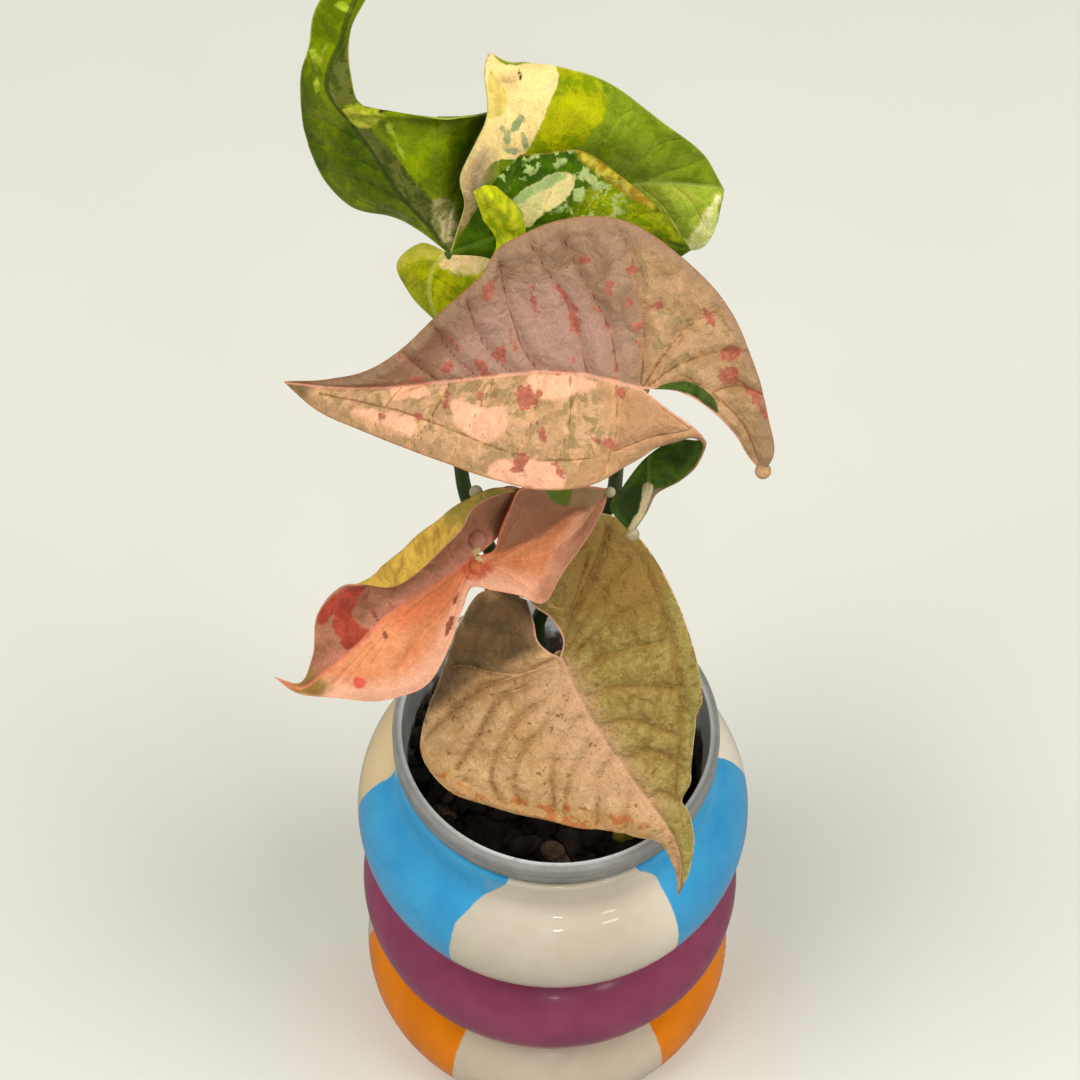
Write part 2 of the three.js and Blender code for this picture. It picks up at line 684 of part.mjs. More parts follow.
function mixBody() {
  const sides = 28;
  const rings = 6;
  const bottom = CUP_FOOT + CUP_WALL + GAP;
  const topRadius = cupRadius(MIX_LEVEL - 4) - CUP_WALL - GAP - 0.2;
  const bottomRadius = cupRadius(bottom) - CUP_WALL - GAP - 0.4;
  const points = [new THREE.Vector3(0, 0, mixSurface(0, 0))];
  for (let ring = 1; ring <= rings; ring += 1) {
    const radius = (topRadius * ring) / rings;
    for (let side = 0; side < sides; side += 1) {
      const angle = (2 * Math.PI * side) / sides;
      const height = ring === rings ? MIX_LEVEL - 3 : mixSurface(radius, angle);
      points.push(new THREE.Vector3(radius * Math.cos(angle), radius * Math.sin(angle), height));
    }
  }
  for (let side = 0; side < sides; side += 1) {
    const angle = (2 * Math.PI * side) / sides;
    points.push(new THREE.Vector3(
      bottomRadius * Math.cos(angle), bottomRadius * Math.sin(angle), bottom,
    ));
  }
  const centre = points.push(new THREE.Vector3(0, 0, bottom)) - 1;
  const triangles = [];
  for (let side = 0; side < sides; side += 1) {
    const next = (side + 1) % sides;
    triangles.push([0, 1 + side, 1 + next]);
    for (let ring = 0; ring < rings; ring += 1) {
      const a = 1 + ring * sides;
      triangles.push([a + side, a + sides + side, a + sides + next]);
      triangles.push([a + side, a + sides + next, a + next]);
    }
    triangles.push([centre, 1 + rings * sides + next, 1 + rings * sides + side]);
  }
  return solidFrom(points, triangles);
}

// Chips of bark that stand out of the mix
function barkChips() {
  const random = seededRandom(411);
  const between = (low, high) => THREE.MathUtils.lerp(low, high, random());
  const chips = [];
  for (let chip = 0; chip < BARK_CHIPS; chip += 1) {
    const radius = CHIP_SPREAD * Math.sqrt(random());
    const angle = 2 * Math.PI * random();
    const lump = new THREE.IcosahedronGeometry(between(SMALL_CHIP, LARGE_CHIP), 0);
    lump.scale(1, between(0.6, 0.9), between(0.45, 0.75));
    lump.rotateX(between(-CHIP_LEAN, CHIP_LEAN));
    lump.rotateY(between(-CHIP_LEAN, CHIP_LEAN));
    lump.rotateZ(Math.PI * random());
    const height = mixSurface(radius, angle) + CHIP_LIFT;
    lump.translate(radius * Math.cos(angle), radius * Math.sin(angle), height);
    chips.push(solidOf(lump));
  }
  return join(chips);
}

function mainStem() {
  return taperedBar([STEM_FOOT, stemPoint(0.5), STEM_TOP], stemRadius, 24, 12);
}

function barkMix() {
  const clearance = () => STEM_RADIUS + STEM_NODE + GAP;
  const hole = taperedBar([stemPoint(-0.01), stemPoint(0.5), stemPoint(1)], clearance, 2, 12);
  return mixBody().add(barkChips()).subtract(hole);
}

function rolledEar() {
  const lines = [GREEN_ROLL.edgeLeft, GREEN_ROLL.crown, GREEN_ROLL.edgeRight]
    .map((line) => line.map(sight));
  const grid = [];
  for (let step = 0; step <= 8; step += 1) {
    const across = lines.map((line) => alongCurve(line, step / 2));
    grid.push([0, 0.5, 1, 1.5, 2].map((place) => alongCurve(across, place)));
  }
  return thicken(weldGrids([grid]), BLADE_THICKNESS);
}

function greenLeaf() {
  const { tall, right, front, earlobe } = GREEN_LOBES;
  return join([
    bladeSolid(tall, 1), bladeSolid(right), bladeSolid(front, 1), bladeSolid(earlobe),
    rolledEar(), stalkSolid(GREEN_STALK),
  ]);
}

function pinkLeaf() {
  return join([bladeSolid(PINK_LEAF), stalkSolid(PINK_STALK), ...knobs(PINK_KNOBS)]);
}

function curledLeaf() {
  return join([bladeSolid(CURLED_LEAF), stalkSolid(CURLED_STALK), ...knobs(CURLED_KNOBS)]);
}

function oliveLeaf() {
  return join([bladeSolid(OLIVE_LEAF), stalkSolid(OLIVE_STALK), ...knobs(OLIVE_KNOBS)]);
}

function finish(colour, roughness, metalness = 0) {
  return new THREE.MeshStandardMaterial({ color: colour, roughness, metalness });
}

function asMesh(name, solid, material) {
  const { vertProperties, triVerts } = solid.getMesh();
  const geometry = new THREE.BufferGeometry();
  geometry.setAttribute('position', new THREE.BufferAttribute(new Float32Array(vertProperties), 3));
  geometry.setIndex(new THREE.BufferAttribute(new Uint32Array(triVerts), 1));
  geometry.computeVertexNormals();
  const mesh = new THREE.Mesh(geometry, material);
  mesh.name = name;
  return mesh;
}

const plant = new THREE.Group();
plant.add(
  asMesh('glazed_pot', glazedPot(), finish(0x4a9ecd, 0.15)),
  asMesh('nursery_cup', nurseryCup(), finish(0x9aa0a6, 0.35)),
  asMesh('bark_mix', barkMix(), finish(0x1c1510, 0.95)),
  asMesh('main_stem', mainStem(), finish(0x3f6b1f, 0.5)),
  asMesh('green_leaf', greenLeaf(), finish(0x5f8a14, 0.4)),
  asMesh('pink_leaf', pinkLeaf(), finish(0xaf8c7d, 0.5)),
  asMesh('curled_leaf', curledLeaf(), finish(0xe69a70, 0.5)),
  asMesh('olive_leaf', oliveLeaf(), finish(0xa5874b, 0.5)),
);

export default plant;
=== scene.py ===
import math
import random

import bpy
import numpy as np
from mathutils import Matrix, Vector


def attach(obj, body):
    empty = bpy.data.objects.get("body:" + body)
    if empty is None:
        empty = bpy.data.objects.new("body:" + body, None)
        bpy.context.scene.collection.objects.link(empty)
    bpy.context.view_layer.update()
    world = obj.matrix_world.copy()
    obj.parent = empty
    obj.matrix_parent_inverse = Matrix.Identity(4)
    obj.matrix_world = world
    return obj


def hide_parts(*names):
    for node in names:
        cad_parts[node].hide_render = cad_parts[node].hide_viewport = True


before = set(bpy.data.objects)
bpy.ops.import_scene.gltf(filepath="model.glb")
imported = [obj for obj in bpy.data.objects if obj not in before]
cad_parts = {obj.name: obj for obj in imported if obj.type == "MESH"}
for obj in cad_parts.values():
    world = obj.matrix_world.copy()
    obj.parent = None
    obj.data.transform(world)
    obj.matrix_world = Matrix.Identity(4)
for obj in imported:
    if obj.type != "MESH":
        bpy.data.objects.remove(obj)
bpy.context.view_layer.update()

# The looks of the potted syngonium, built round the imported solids. Shapes are
# worked out in millimetres and scaled as they are placed.
MM = 0.001

# The eye that every sighting is taken from, in millimetres and degrees
EYE = np.array([-6.9, -369.6, 769.7])
PITCH = math.radians(53.66)
ROLL = math.radians(1.64)
FOCAL_LENGTH = 2200.0
PICTURE_WIDTH = 1080
PICTURE_CENTRE = 540.0
SENSOR_WIDTH = 36
FORWARD = np.array([0.0, math.cos(PITCH), -math.sin(PITCH)])
LEVEL = np.array([1.0, 0.0, 0.0])
UPRIGHT = np.cross(LEVEL, FORWARD)
RIGHTWARD = math.cos(ROLL) * LEVEL + math.sin(ROLL) * UPRIGHT
UPWARD = math.cos(ROLL) * UPRIGHT - math.sin(ROLL) * LEVEL

# Pot: each ring is half an ellipse turned round the axis
BOTTOM_RING = {"radius": 66.6, "bulge": 23.0, "half_height": 23.4}
MIDDLE_RING = {"radius": 66.1, "bulge": 24.9, "half_height": 23.9}
TOP_RING = {"radius": 65.7, "bulge": 21.6, "half_height": 25.0}
GROOVE_RADIUS = 50.5
POT_FLOOR = 8
FOOT_FLAT = 30
POT_WALL = 6
SHOULDER_RADIUS = 57
COLLAR_RADIUS = 52.2
COLLAR_BEND = 142.0
COLLAR_FOOT = 147.0
POT_LIP = 156.2
LIP_ROUND = 1.6
# Glaze pools darker in the grooves, where shade is painted too, between these heights
POOLED_SHADE_FROM, POOLED_SHADE_TO = 30, 110
POT_STEPS = 180
OUTSIDE_STEPS = 26
INSIDE_STEPS = 10
FLOOR_STEPS = 8
BARE_CLAY_HEIGHT = 0.2
GLAZE_RADIUS = 60
# Heights in metres over which the glaze changes colour
ORANGE_TO_PLUM = 0.0468, 0.0474
PLUM_TO_BLUE = 0.0940, 0.0946
# Pale sectors of the glaze: start and end in degrees, then by how much each
# side draws in, and the heights between which it does so
PALE_SECTORS = [
    [-119.4, -50.8, 14, 132, 158, 11, 142, 162],
    [6.0, 64.0, -8, 140, 156, 0, 0, 1],
    [128.0, 186.7, 0, 0, 1, 3, 138, 150],
]

# Thin plastic cup that stands inside the pot
CUP_TOP = 168
CUP_RIM_RADIUS = 52.5
CUP_RIM_HEIGHT = 9.0
CUP_RIM_ROUND = 1.4
CUP_WALL = 1.2
CUP_NECK_RADIUS = 50.4
CUP_FOOT_RADIUS = 39
CUP_FOOT = 60
CUP_ROWS = 12
CUP_STEPS = 160
DRAIN_HOLES = 6
DRAIN_RADIUS = 3.5
DRAIN_CIRCLE = 26
GAP = 0.3

# Bark mix, stem and stalks
MIX_LEVEL = 142
BARK_CHIPS = 460
SMALL_SHARE = 0.75
SMALL_CHIPS = (2.0, 4.6)
LARGE_CHIPS = (4.5, 6.5)
CHIP_LEAN = 0.6
CHIP_SEED = 411
CHIP_MODELS = 8
CHIP_CUTS = 5
# Round the stem's foot the chips are small
STEM_SURROUND = 11
STEM_FOOT = np.array([-9.0, 14.0, 118.0])
STEM_TOP = np.array([-13.0, 20.0, 190.0])
STEM_RADIUS = 4.4
STEM_TOP_RADIUS = 3.6
STEM_NODE = 0.5
STEM_NODES = 4
STEM_ROWS = 120
STALK_BASE_RADIUS = 2.6
STALK_TOP_RADIUS = 1.6
STALK_STEPS = 16
STALK_UPRIGHT = (0.31, 0.86, 0.4)
BLADE_THICKNESS = 0.5
QUILT_REACH = 2.4
STALK_SIDES = 20
STEM_SIDES = 32
# Where a stalk stands beside the stem: the share of the stem's length, and the
# side in degrees from +X. The green leaf's stalk stands on the stem's top.
STALK_FEET = {"pink": (0.86, 35), "curled": (0.74, 225), "olive": (0.62, -80)}
# Most that a mark counts, in millimetres from an edge or a line
FAR_OFF = 20.0
# Points closer than this in metres are merged
WELD = 1e-6
BLADE_WELD = 1e-5
# Faces that meet at less than this in degrees are shaded smooth
LEAF_ANGLE = 55
TURNED_ANGLE = 40
MIX_ANGLE = 35


def drawing(text):
    """Entries that end with semicolons, their shapes between slashes and the
    rows of a shape between commas"""
    entries = {}
    for entry in text.strip().rstrip(";").split(";"):
        name, shapes = entry.split(":")
        entries[name.strip()] = [
            [[float(number) for number in row.split()] for row in shape.split(",") if row.strip()]
            for shape in shapes.split("/")]
    return entries


# Leaves are nets of smooth curves, drawn through sightings: a column and a row
# of a square picture 1080 wide, and the height of the point above the table.
#   midrib      sightings from the tip to where the halves of the blade meet
#   far, near   sightings of a half: its sinus, then its lines out to the margin
#               without the tip and the half's last point, which they share
#   veins       lines of columns and rows
#   stalk, roll sightings down a stalk, and along the edges and crown of a roll
#   knobs       sightings of small swellings and lobe ends, with a radius
#   nudges      column, row and reach of a push, and how far it goes right and down
# All others are marks on the skin: outlines of columns and rows, or flecks with
# a column, row, half length, half width, and their lean from level in degrees.
FORM_ENTRIES = (
    "midrib", "far", "near", "veins", "far veins", "near veins", "stalk", "knobs", "nudges")
LEAVES = {
    "pink": drawing("""
midrib: 284 382 306, 330 388 311, 380 388 317, 417 385 321, 453 381 325, 508 375 330, 556 372 333,
600 378 335, 642 389 335;
far: 676 391 334, 700 402 331, 722 420 326, 738 438 320, 748 455 315, 763 473 311 / 331 384 312,
378 380 319, 413 368 325, 450 348 332, 495 325 340, 530 305 345, 580 300 348, 635 305 349,
690 325 346, 726 355 340, 745 392 333, 756 426 325, 763 454 317 / 330 379 314, 370 369 322,
405 346 331, 440 312 342, 480 276 353, 502 246 360, 560 220 366, 622 220 366, 680 256 360,
730 310 350, 757 372 338, 768 418 327, 774 452 318;
near: 668 409 333, 697 430 328, 699 440 317, 672 441 307, 645 459 302, 622 488 296, 610 506 291,
632 534 285 / 323 399 310, 366 409 315, 405 416 319, 446 421 322, 500 428 326, 550 431 328,
596 431 329, 634 429 330, 664 431 329, 694 434 327, 703 443 318, 688 454 310, 664 468 304,
647 491 298, 637 511 292 / 318 411 308, 360 430 312, 400 446 315, 440 461 317, 495 480 319,
545 490 320, 590 485 320, 622 469 322, 660 446 324, 690 437 325, 704 446 319, 697 465 312,
680 481 304, 657 494 297, 647 513 291;
far veins: 641 387, 644 336, 637 284, 629 250, 616 224 / 618 372, 613 342, 598 305, 577 267,
560 232 / 588 374, 580 342, 567 305, 546 268, 528 240 / 541 373, 526 353, 512 318, 503 284,
500 262 / 515 375, 495 359, 478 332, 468 300 / 480 378, 456 358, 440 336, 432 322 / 440 382,
418 366, 402 350 / 644 386, 663 356, 694 322, 730 306 / 647 387, 677 366, 718 352, 754 350 /
653 389, 690 382, 722 402, 746 428, 760 462 / 712 392, 738 386, 766 396;
near veins: 616 386, 617 411, 614 442, 604 474 / 570 377, 571 411, 562 450, 548 484 / 538 375,
535 411, 521 445, 500 476 / 495 378, 482 404, 467 432, 450 460 / 450 384, 436 410, 418 436,
408 446 / 402 388, 388 404, 372 430 / 320 394, 402 412, 457 432, 496 448, 546 460, 600 456,
653 436, 688 430 / 646 391, 668 412, 690 428 / 650 453, 647 495, 632 530;
stalk: 642 389 333.6, 625 435 300, 617 467 276, 611 500 258;
knobs: 763 471 311.6 2.2, 633 534 285 1.8, 642 389 333.3 2;
fleck: 566 298 14 3.5 60, 575 320 14 6 72, 535 301 13 3 78, 632 268 6 4.5 80, 657 305 13 4.5 -24,
708 314 12 4 58, 730 352 12 10 -40, 729 374 11 9 20, 752 392 17 4.5 48, 457 342 9 4 50,
501 353 8 6.5 35, 483 368 9 5 70, 447 368 8 4.5 -20, 418 378 5 3 0, 527 400 13 9 65,
543 433 6.5 4 70, 606 442 11 4 8, 520 464 8 6 -65, 558 469 5 3 60, 584 258 7 4.5 -60,
488 287 9 4 -70, 623 394 5 4 40, 557 371 5 3 45, 538 392 5 2.5 75, 617 371 7 2.2 -80,
575 356 7 2.2 -75, 637 328 6 4 -40, 610 286 7 3.5 85, 628 308 6 1.6 88, 403 356 4 2 0,
374 384 4 1.8 0, 387 419 6.5 3 10, 420 416 4 4 0, 448 404 9 3 85, 480 397 6 2 80, 762 408 10 3 70,
598 310 5 2.5 55, 608 330 5 2 60, 512 340 5 2 75, 640 345 4 3 30;
blush: 455 402, 482 408, 506 410, 505 432, 488 442, 462 430, 452 416 / 528 380, 556 374, 588 380,
596 388, 572 396, 548 402, 534 394 / 500 462, 526 462, 552 466, 562 478, 556 491, 520 488, 492 474
/ 352 412, 392 414, 418 424, 410 436, 380 432, 356 422 / 390 386, 424 386, 430 396, 404 402,
392 396;
salmon: 488 474, 500 460, 530 462, 553 464, 564 476, 560 492, 524 492, 500 486;
bend: 606 392, 640 388, 676 408, 702 428, 706 440, 650 452, 606 486, 572 492, 568 470, 610 450,
616 420;
mauve: 440 352, 452 332, 486 300, 510 290, 548 278, 588 300, 622 360, 600 378, 520 374, 470 380;
beige: 648 392, 646 340, 640 290, 636 250, 700 262, 745 320, 775 380, 790 480, 740 480, 700 410;
tip: 276 378, 292 380, 306 384, 306 396, 290 392, 276 386;
shaded: 292 381, 330 372, 368 360, 402 340, 436 310, 452 322, 446 350, 424 372, 360 381;
crescent: 652 391, 664 384, 684 381, 700 387, 713 398, 718 412, 706 405, 692 395, 672 390;
stripe: 644 484, 652 484, 651 500, 643 518, 634 531, 628 530, 640 508;
grey: 654 492, 668 488, 660 504, 650 522, 638 538, 632 534, 644 516;
shade: 612 488, 640 480, 650 500, 640 530, 628 536, 614 508;
"""),
    "curled": drawing("""
midrib: 274 677 244, 300 688 240, 326 670 244, 352 650 249, 389 613 257, 430 586 264, 455 571 268,
474 557 270;
far: 486 548 272, 503 530 272, 528 492 277 / 300 686 240.5, 321 665 246, 340 638 253, 372 600 262,
404 572 271, 432 550 275, 456 530 277, 478 521 277, 501 509 278 / 300 684 241, 317 660 248,
328 625 256, 352 588 268, 383 567 278, 425 527 286, 460 503 291, 486 490 292, 509 486 288 /
301 683 241, 313 655 249, 317 615 259, 345 585 269, 396 586 276, 436 556 284, 460 530 290,
474 508 292, 498 495 290;
near: 494 551 271, 500 532 276, 509 510 281, 520 489 286, 553 488 284, 585 486 280, 609 489 275 /
299 690 239.5, 332 685 240, 365 676 243, 407 650 248, 440 616 256, 460 592 263, 474 573 267,
496 558 265, 513 551 264, 530 544 264, 548 532 266, 568 519 269, 590 508 272 / 297 693 239,
337 698 238, 378 700 237, 425 686 239, 450 646 249, 461 612 258, 471 588 263, 493 590 262,
520 596 259, 543 603 256, 564 571 261, 584 543 266, 602 512 271;
far veins: 440 576, 410 566, 384 570 / 404 600, 372 592, 345 590 / 368 632, 346 612, 330 600 /
340 655, 324 640, 316 626 / 455 565, 446 540, 452 515 / 474 552, 486 530, 508 505;
near veins: 464 574, 446 606, 423 632, 400 668 / 456 574, 421 601, 396 626, 372 664 / 430 592,
398 620, 370 652, 346 684 / 390 622, 362 652, 336 682 / 468 572, 458 600, 452 632, 436 666 /
478 568, 510 562, 545 556, 578 530, 603 498 / 490 566, 516 580, 540 598 / 500 558, 540 534,
580 508 / 497 552, 512 524, 530 500;
stalk: 474 557 268.6, 483 572 246, 495 600 219;
knobs: 610 492 274.6 1.6, 476 492 289 1.9, 477 539 273.2 3, 475 567 267.6 2.4;
red: 328 600, 345 588, 363 584, 358 598, 352 612, 358 624, 370 633, 360 643, 348 650, 340 638,
333 624, 334 612, 326 622, 318 622, 320 608;
spot: 360 681 6 5.5 0;
fleck: 374 613 9 2 58, 391 605 5 1.5 50, 364 596 8 1.8 -60, 450 624 10 3 -70, 385 635 5 2.5 80,
456 598 5 1.5 -70;
joint: 459 573, 466 563, 470 556, 477 557, 484 562, 492 564, 490 572, 480 579, 471 580, 462 578;
knob: 468 536, 473 530, 481 530, 487 537, 486 545, 478 550, 470 545;
slit: 474 549, 481 549, 479 554, 482 561, 478 561, 474 556;
warm: 392 616, 430 588, 470 562, 484 572, 470 590, 460 606, 430 614, 400 628;
inner: 497 553, 516 547, 532 540, 548 530, 568 517, 590 507, 607 498, 611 486, 585 482, 553 484,
520 484, 508 506, 499 530, 493 548 / 488 500, 512 488, 516 500, 504 520, 497 534, 490 528,
486 514;
green: 544 484, 571 484, 570 495, 565 503, 557 501, 548 494;
beige: 572 480, 614 480, 608 492, 594 501, 578 505, 568 505, 571 494;
tip: 262 676, 286 668, 312 672, 330 688, 312 700, 280 694;
mauve: 600 500, 614 488, 612 510, 590 548, 566 590, 548 606, 536 598, 552 576, 574 538;
roll end: 440 505, 470 494, 510 484, 524 492, 500 506, 470 516, 450 522;
"""),
    "olive": drawing("""
midrib: 678 895 164, 682 873 170, 677 847 178, 664 823 186, 645 798 192, 622 766 200, 602 738 207,
580 700 216, 560 657 225;
far: 563 640 230, 551 618 235, 530 599 240, 597 512 262 / 685 873 171.5, 686 846 179,
677 818 186.5, 668 790 194, 660 752 203.5, 654 715 213, 642 682 222, 626 640 231, 612 606 239,
598 572 247, 592 540 255 / 689 872 173, 694 842 180, 689 810 187, 690 777 196, 694 735 207,
702 702 216, 698 668 225, 686 625 235, 668 582 245, 643 542 254, 618 518 260;
near: 549 652 226, 538 641 228, 534 624 230, 527 600 233 / 679 870 170, 668 842 177.5,
648 828 183, 610 812 188, 565 785 194, 520 755 201, 492 722 208, 486 685 215, 490 660 220,
498 637 225, 508 613 231 / 676 867 169, 661 836 177, 630 831 180, 570 825 182, 510 811 184,
450 790 187, 421 752 194, 429 708 204, 443 672 212, 460 625 224, 484 591 235;
far veins: 561 656, 572 613, 586 581, 599 549, 606 528 / 563 659, 583 622, 604 589, 628 560 /
565 667, 594 635, 623 613, 655 600 / 569 680, 599 659, 640 646, 676 638 / 577 700, 604 689,
640 686, 682 690 / 596 730, 626 719, 661 729, 684 738 / 623 760, 648 751, 672 760, 686 772 /
648 798, 662 792, 680 800 / 640 556, 661 608, 677 662, 681 705, 678 759, 676 800 / 558 652,
566 622, 574 598, 588 552;
near veins: 556 659, 526 673, 491 672, 464 665, 450 668 / 560 659, 518 676, 480 688, 453 711,
426 738 / 562 665, 526 686, 499 699, 478 735, 458 768 / 567 673, 550 697, 523 715, 500 745,
492 776, 500 800 / 572 686, 548 724, 524 750, 514 781, 522 806 / 586 713, 569 735, 553 765,
556 810 / 602 738, 583 759, 568 786, 566 815 / 615 752, 600 784, 598 820 / 640 787, 628 808,
626 824;
nudges: 688 799 9 -7 2, 700 716 10 -3 0, 692 780 9 1 0;
stalk: 560 657 223.8, 556 668 208, 543 681 187;
knobs: 560 657 223.2 2;
grey: 432 690, 438 664, 454 624, 484 590, 534 598, 538 624, 540 642, 528 656, 496 668, 470 680,
452 696, 428 712;
centre: 548 662, 572 664, 600 716, 636 770, 662 812, 628 826, 590 800, 556 760, 536 710;
golden: 566 560, 600 518, 640 536, 666 580, 650 612, 606 620, 572 612;
rust: 408 732, 424 742, 446 768, 470 784, 500 794, 540 800, 580 806, 618 812, 650 824, 644 840,
590 832, 540 822, 490 812, 440 792, 414 764;
sinus: 535 604, 541 613, 548 619, 556 632, 561 644, 561 656, 559 655, 559 645, 553 633, 546 621,
539 614;
"""),
    "tall": drawing("""
midrib: 450 254 350, 428 225 355, 411 207 359, 395 188 363, 378 160 368, 357 130 374, 347 117 377,
337 106 380, 327 88 384, 331 62 388, 341 42 391, 346 22 395, 358 -6 399, 374 -30 401, 400 -58 400;
far:  / 448 219 357, 442 195 363, 436 168 370, 431 142 376, 420 126 380, 392 117 382, 358 110 382,
345 95 383, 342 68 386, 345 46 389, 349 24 394, 361 -3 398, 378 -28 400 / 474 214 354,
476 183 361, 484 154 368, 492 131 374, 498 113 379, 447 119 384, 390 111 384, 360 104 383,
351 76 385, 348 50 388, 351 26 393, 365 0 397, 382 -26 400;
near:  / 425 229 353, 400 212 355, 374 198 357, 350 175 361, 332 143 367, 326 130 370,
320 116 374, 314 94 380, 316 68 385, 324 44 389, 331 20 394, 343 -8 399, 364 -34 401 /
421 231 351, 388 215 350, 350 206 350, 325 181 354, 311 150 361, 307 136 365, 304 122 369,
302 98 376, 302 70 382, 309 44 388, 314 15 393, 328 -12 398, 352 -36 400;
veins: 430 232, 395 214, 350 196 / 412 206, 372 184, 326 170 / 394 180, 352 156, 310 140 /
372 148, 336 126, 304 112 / 430 226, 420 180, 426 136, 440 120 / 408 194, 396 160, 400 122 /
445 240, 455 190, 476 140, 488 118 / 338 96, 316 76, 306 50 / 340 50, 326 30, 318 16;
silver: 452 252, 444 244, 428 226, 410 206, 392 184, 374 158, 356 128, 352 116, 366 122, 384 140,
402 162, 420 186, 438 206, 450 226 / 328 92, 327 78, 334 60, 345 44, 351 60, 353 84, 362 106,
346 106;
yellow: 344 106, 364 106, 384 112, 380 122, 364 126, 350 120;
shade: 330 150, 352 120, 380 160, 412 208, 392 206, 360 190 / 454 130, 474 116, 494 112, 478 150,
466 200, 454 246, 450 200 / 300 60, 312 86, 314 120, 330 160, 322 176, 302 140, 298 90;
lime: 392 132, 424 132, 428 160, 414 180, 400 160;
fleck: 313 54 7 4 80, 321 62 6 3 60, 326 50 5 2 -60, 392 130 8 3 70, 400 148 10 3 65,
372 116 6 3 10, 318 84 6 2 80, 344 8 8 4 20;
nick: 383 111 5 1.6 -6, 368 108 2 1 0;
hub: 436 200, 448 200, 456 224, 456 250, 446 244, 436 222;
"""),
    "right": drawing("""
midrib: 450 254 350, 485 236 352, 520 216 354, 555 201 355, 590 192 356, 620 186 356, 650 183 355,
680 183 353, 705 186 351, 724 189 349;
far:  / 474 219 358, 488 182 368, 520 143 376, 546 116 381, 590 120 379, 628 134 373, 670 152 364,
703 168 356 / 464 207 364, 460 176 374, 486 120 384, 488 58 394, 553 66 388, 605 81 383,
661 121 373, 702 153 361;
near:  / 486 240 351, 525 226 350, 562 214 349, 598 208 348, 630 206 347, 662 210 346,
693 216 345, 712 210 347 / 486 245 349, 528 236 346, 566 230 343, 602 228 341, 634 232 339,
664 242 337, 692 250 336, 706 244 338;
veins: 500 228, 500 170, 506 110, 500 72 / 536 208, 546 160, 560 112, 574 74 / 575 196, 594 158,
618 120, 640 104 / 612 188, 636 162, 664 142, 682 138 / 640 184, 664 172, 690 164, 704 158 /
600 190, 628 212, 650 238 / 640 185, 664 206, 684 238 / 672 184, 692 202, 706 228;
nudges: 508 63 13 0 11, 489 57 6 0 -4, 532 68 12 0 3;
cream: 489 54, 506 66, 552 62, 557 84, 549 101, 540 122, 530 144, 518 158, 500 159, 487 167,
477 184, 471 206, 462 226, 452 206, 456 176, 464 150, 478 130, 486 112, 484 84;
lime: 552 62, 582 62, 598 80, 606 110, 592 130, 573 148, 545 154, 522 156, 538 122, 549 101;
bright: 549 100, 572 97, 594 100, 605 112, 596 124, 582 132, 560 134, 540 140, 542 118;
grey: 507 136 9 3.5 80, 516 124 8 4 -60, 524 140 9 3.5 78, 512 150 8 3.5 10, 502 128 4 2 60,
522 118 5 2.5 40;
flap: 490 70, 500 82, 508 98, 504 112, 492 118, 484 116, 486 92;
foot: 474 150, 490 150, 486 176, 474 206, 462 226, 454 210, 460 180;
low: 640 186, 690 184, 728 188, 716 215, 706 250, 684 250, 668 228, 652 206;
corner: 718 196, 716 216, 706 250, 690 252, 682 244, 694 232, 704 214;
nick: 518 75 5 1.8 80, 489 56 3 2 60;
"""),
    "front": drawing("""
midrib: 450 254 350, 472 246 353, 500 236 356, 532 228 358, 566 224 359, 600 226 358, 635 232 356,
665 242 352, 691 250 349;
far:  / 468 222 358, 488 203 363, 518 190 366, 555 187 367, 592 188 366, 628 204 362, 662 229 356
/ 466 208 361, 478 174 368, 505 158 372, 545 153 374, 582 151 373, 622 177 368, 661 211 360;
near:  / 474 252 351, 500 250 352, 530 246 353, 562 246 353, 595 246 352, 628 248 351, 662 252 349
/ 476 258 348, 500 264 346, 530 266 345, 560 268 344, 592 268 343, 626 268 344, 662 266 345;
veins: 500 236, 504 200, 520 164 / 540 226, 552 190, 572 158 / 580 225, 600 196, 622 178 /
620 230, 642 214, 660 212;
mint: 512 204, 520 192, 538 182, 560 172, 572 174, 573 190, 560 204, 540 216, 526 228, 514 216;
shade: 512 202, 520 192, 538 182, 560 172, 570 174, 556 184, 538 192, 520 202;
fleck: 590 178 10 5 50, 598 186 7 4 -20, 578 195 6 7 30, 562 162 6 3 -30, 560 208 6 2.5 -30,
484 172 4 2.5 60, 513 160 4 3 0, 532 158 5 2 -40;
speckled: 472 186, 482 164, 508 150, 540 146, 574 148, 560 162, 530 176, 508 188, 484 188 /
568 170, 596 160, 618 176, 626 206, 600 226, 556 226, 572 200;
olive: 586 190, 620 178, 652 202, 680 240, 640 252, 600 232, 570 224;
yellow: 576 150, 590 156, 620 172, 652 196, 660 206, 648 206, 616 186, 584 164;
"""),
    "earlobe": drawing("""
midrib: 450 254 350, 438 262 348, 430 278 345, 430 297 341, 438 323 336;
far:  / 462 264 348, 460 282 345, 449 303 340 / 494 262 350, 491 286 346, 468 310 340;
near:  / 424 256 346, 415 273 343, 420 293 339 / 420 244 346, 397 264 341, 408 290 337;
veins: 442 262, 420 262, 404 268 / 432 276, 416 286, 408 296 / 434 276, 452 288, 462 300;
blush: 440 262, 446 250, 470 252, 492 254, 492 264, 474 274, 452 272;
lime: 394 254, 418 240, 446 250, 440 264, 416 258, 400 268;
"""),
    "green": drawing("""
stalk: 450 255 349, 454 360 318, 461 468 272, 467 497 260;
roll: 490 262 348, 488 240 353, 482 214 362, 477 200 367, 474 191 370 / 508 256 355, 514 236 359,
504 212 369, 492 197 374, 485 186 374 / 528 258 349, 532 236 353, 518 208 364, 503 193 370,
496 187 371;
"""),
}
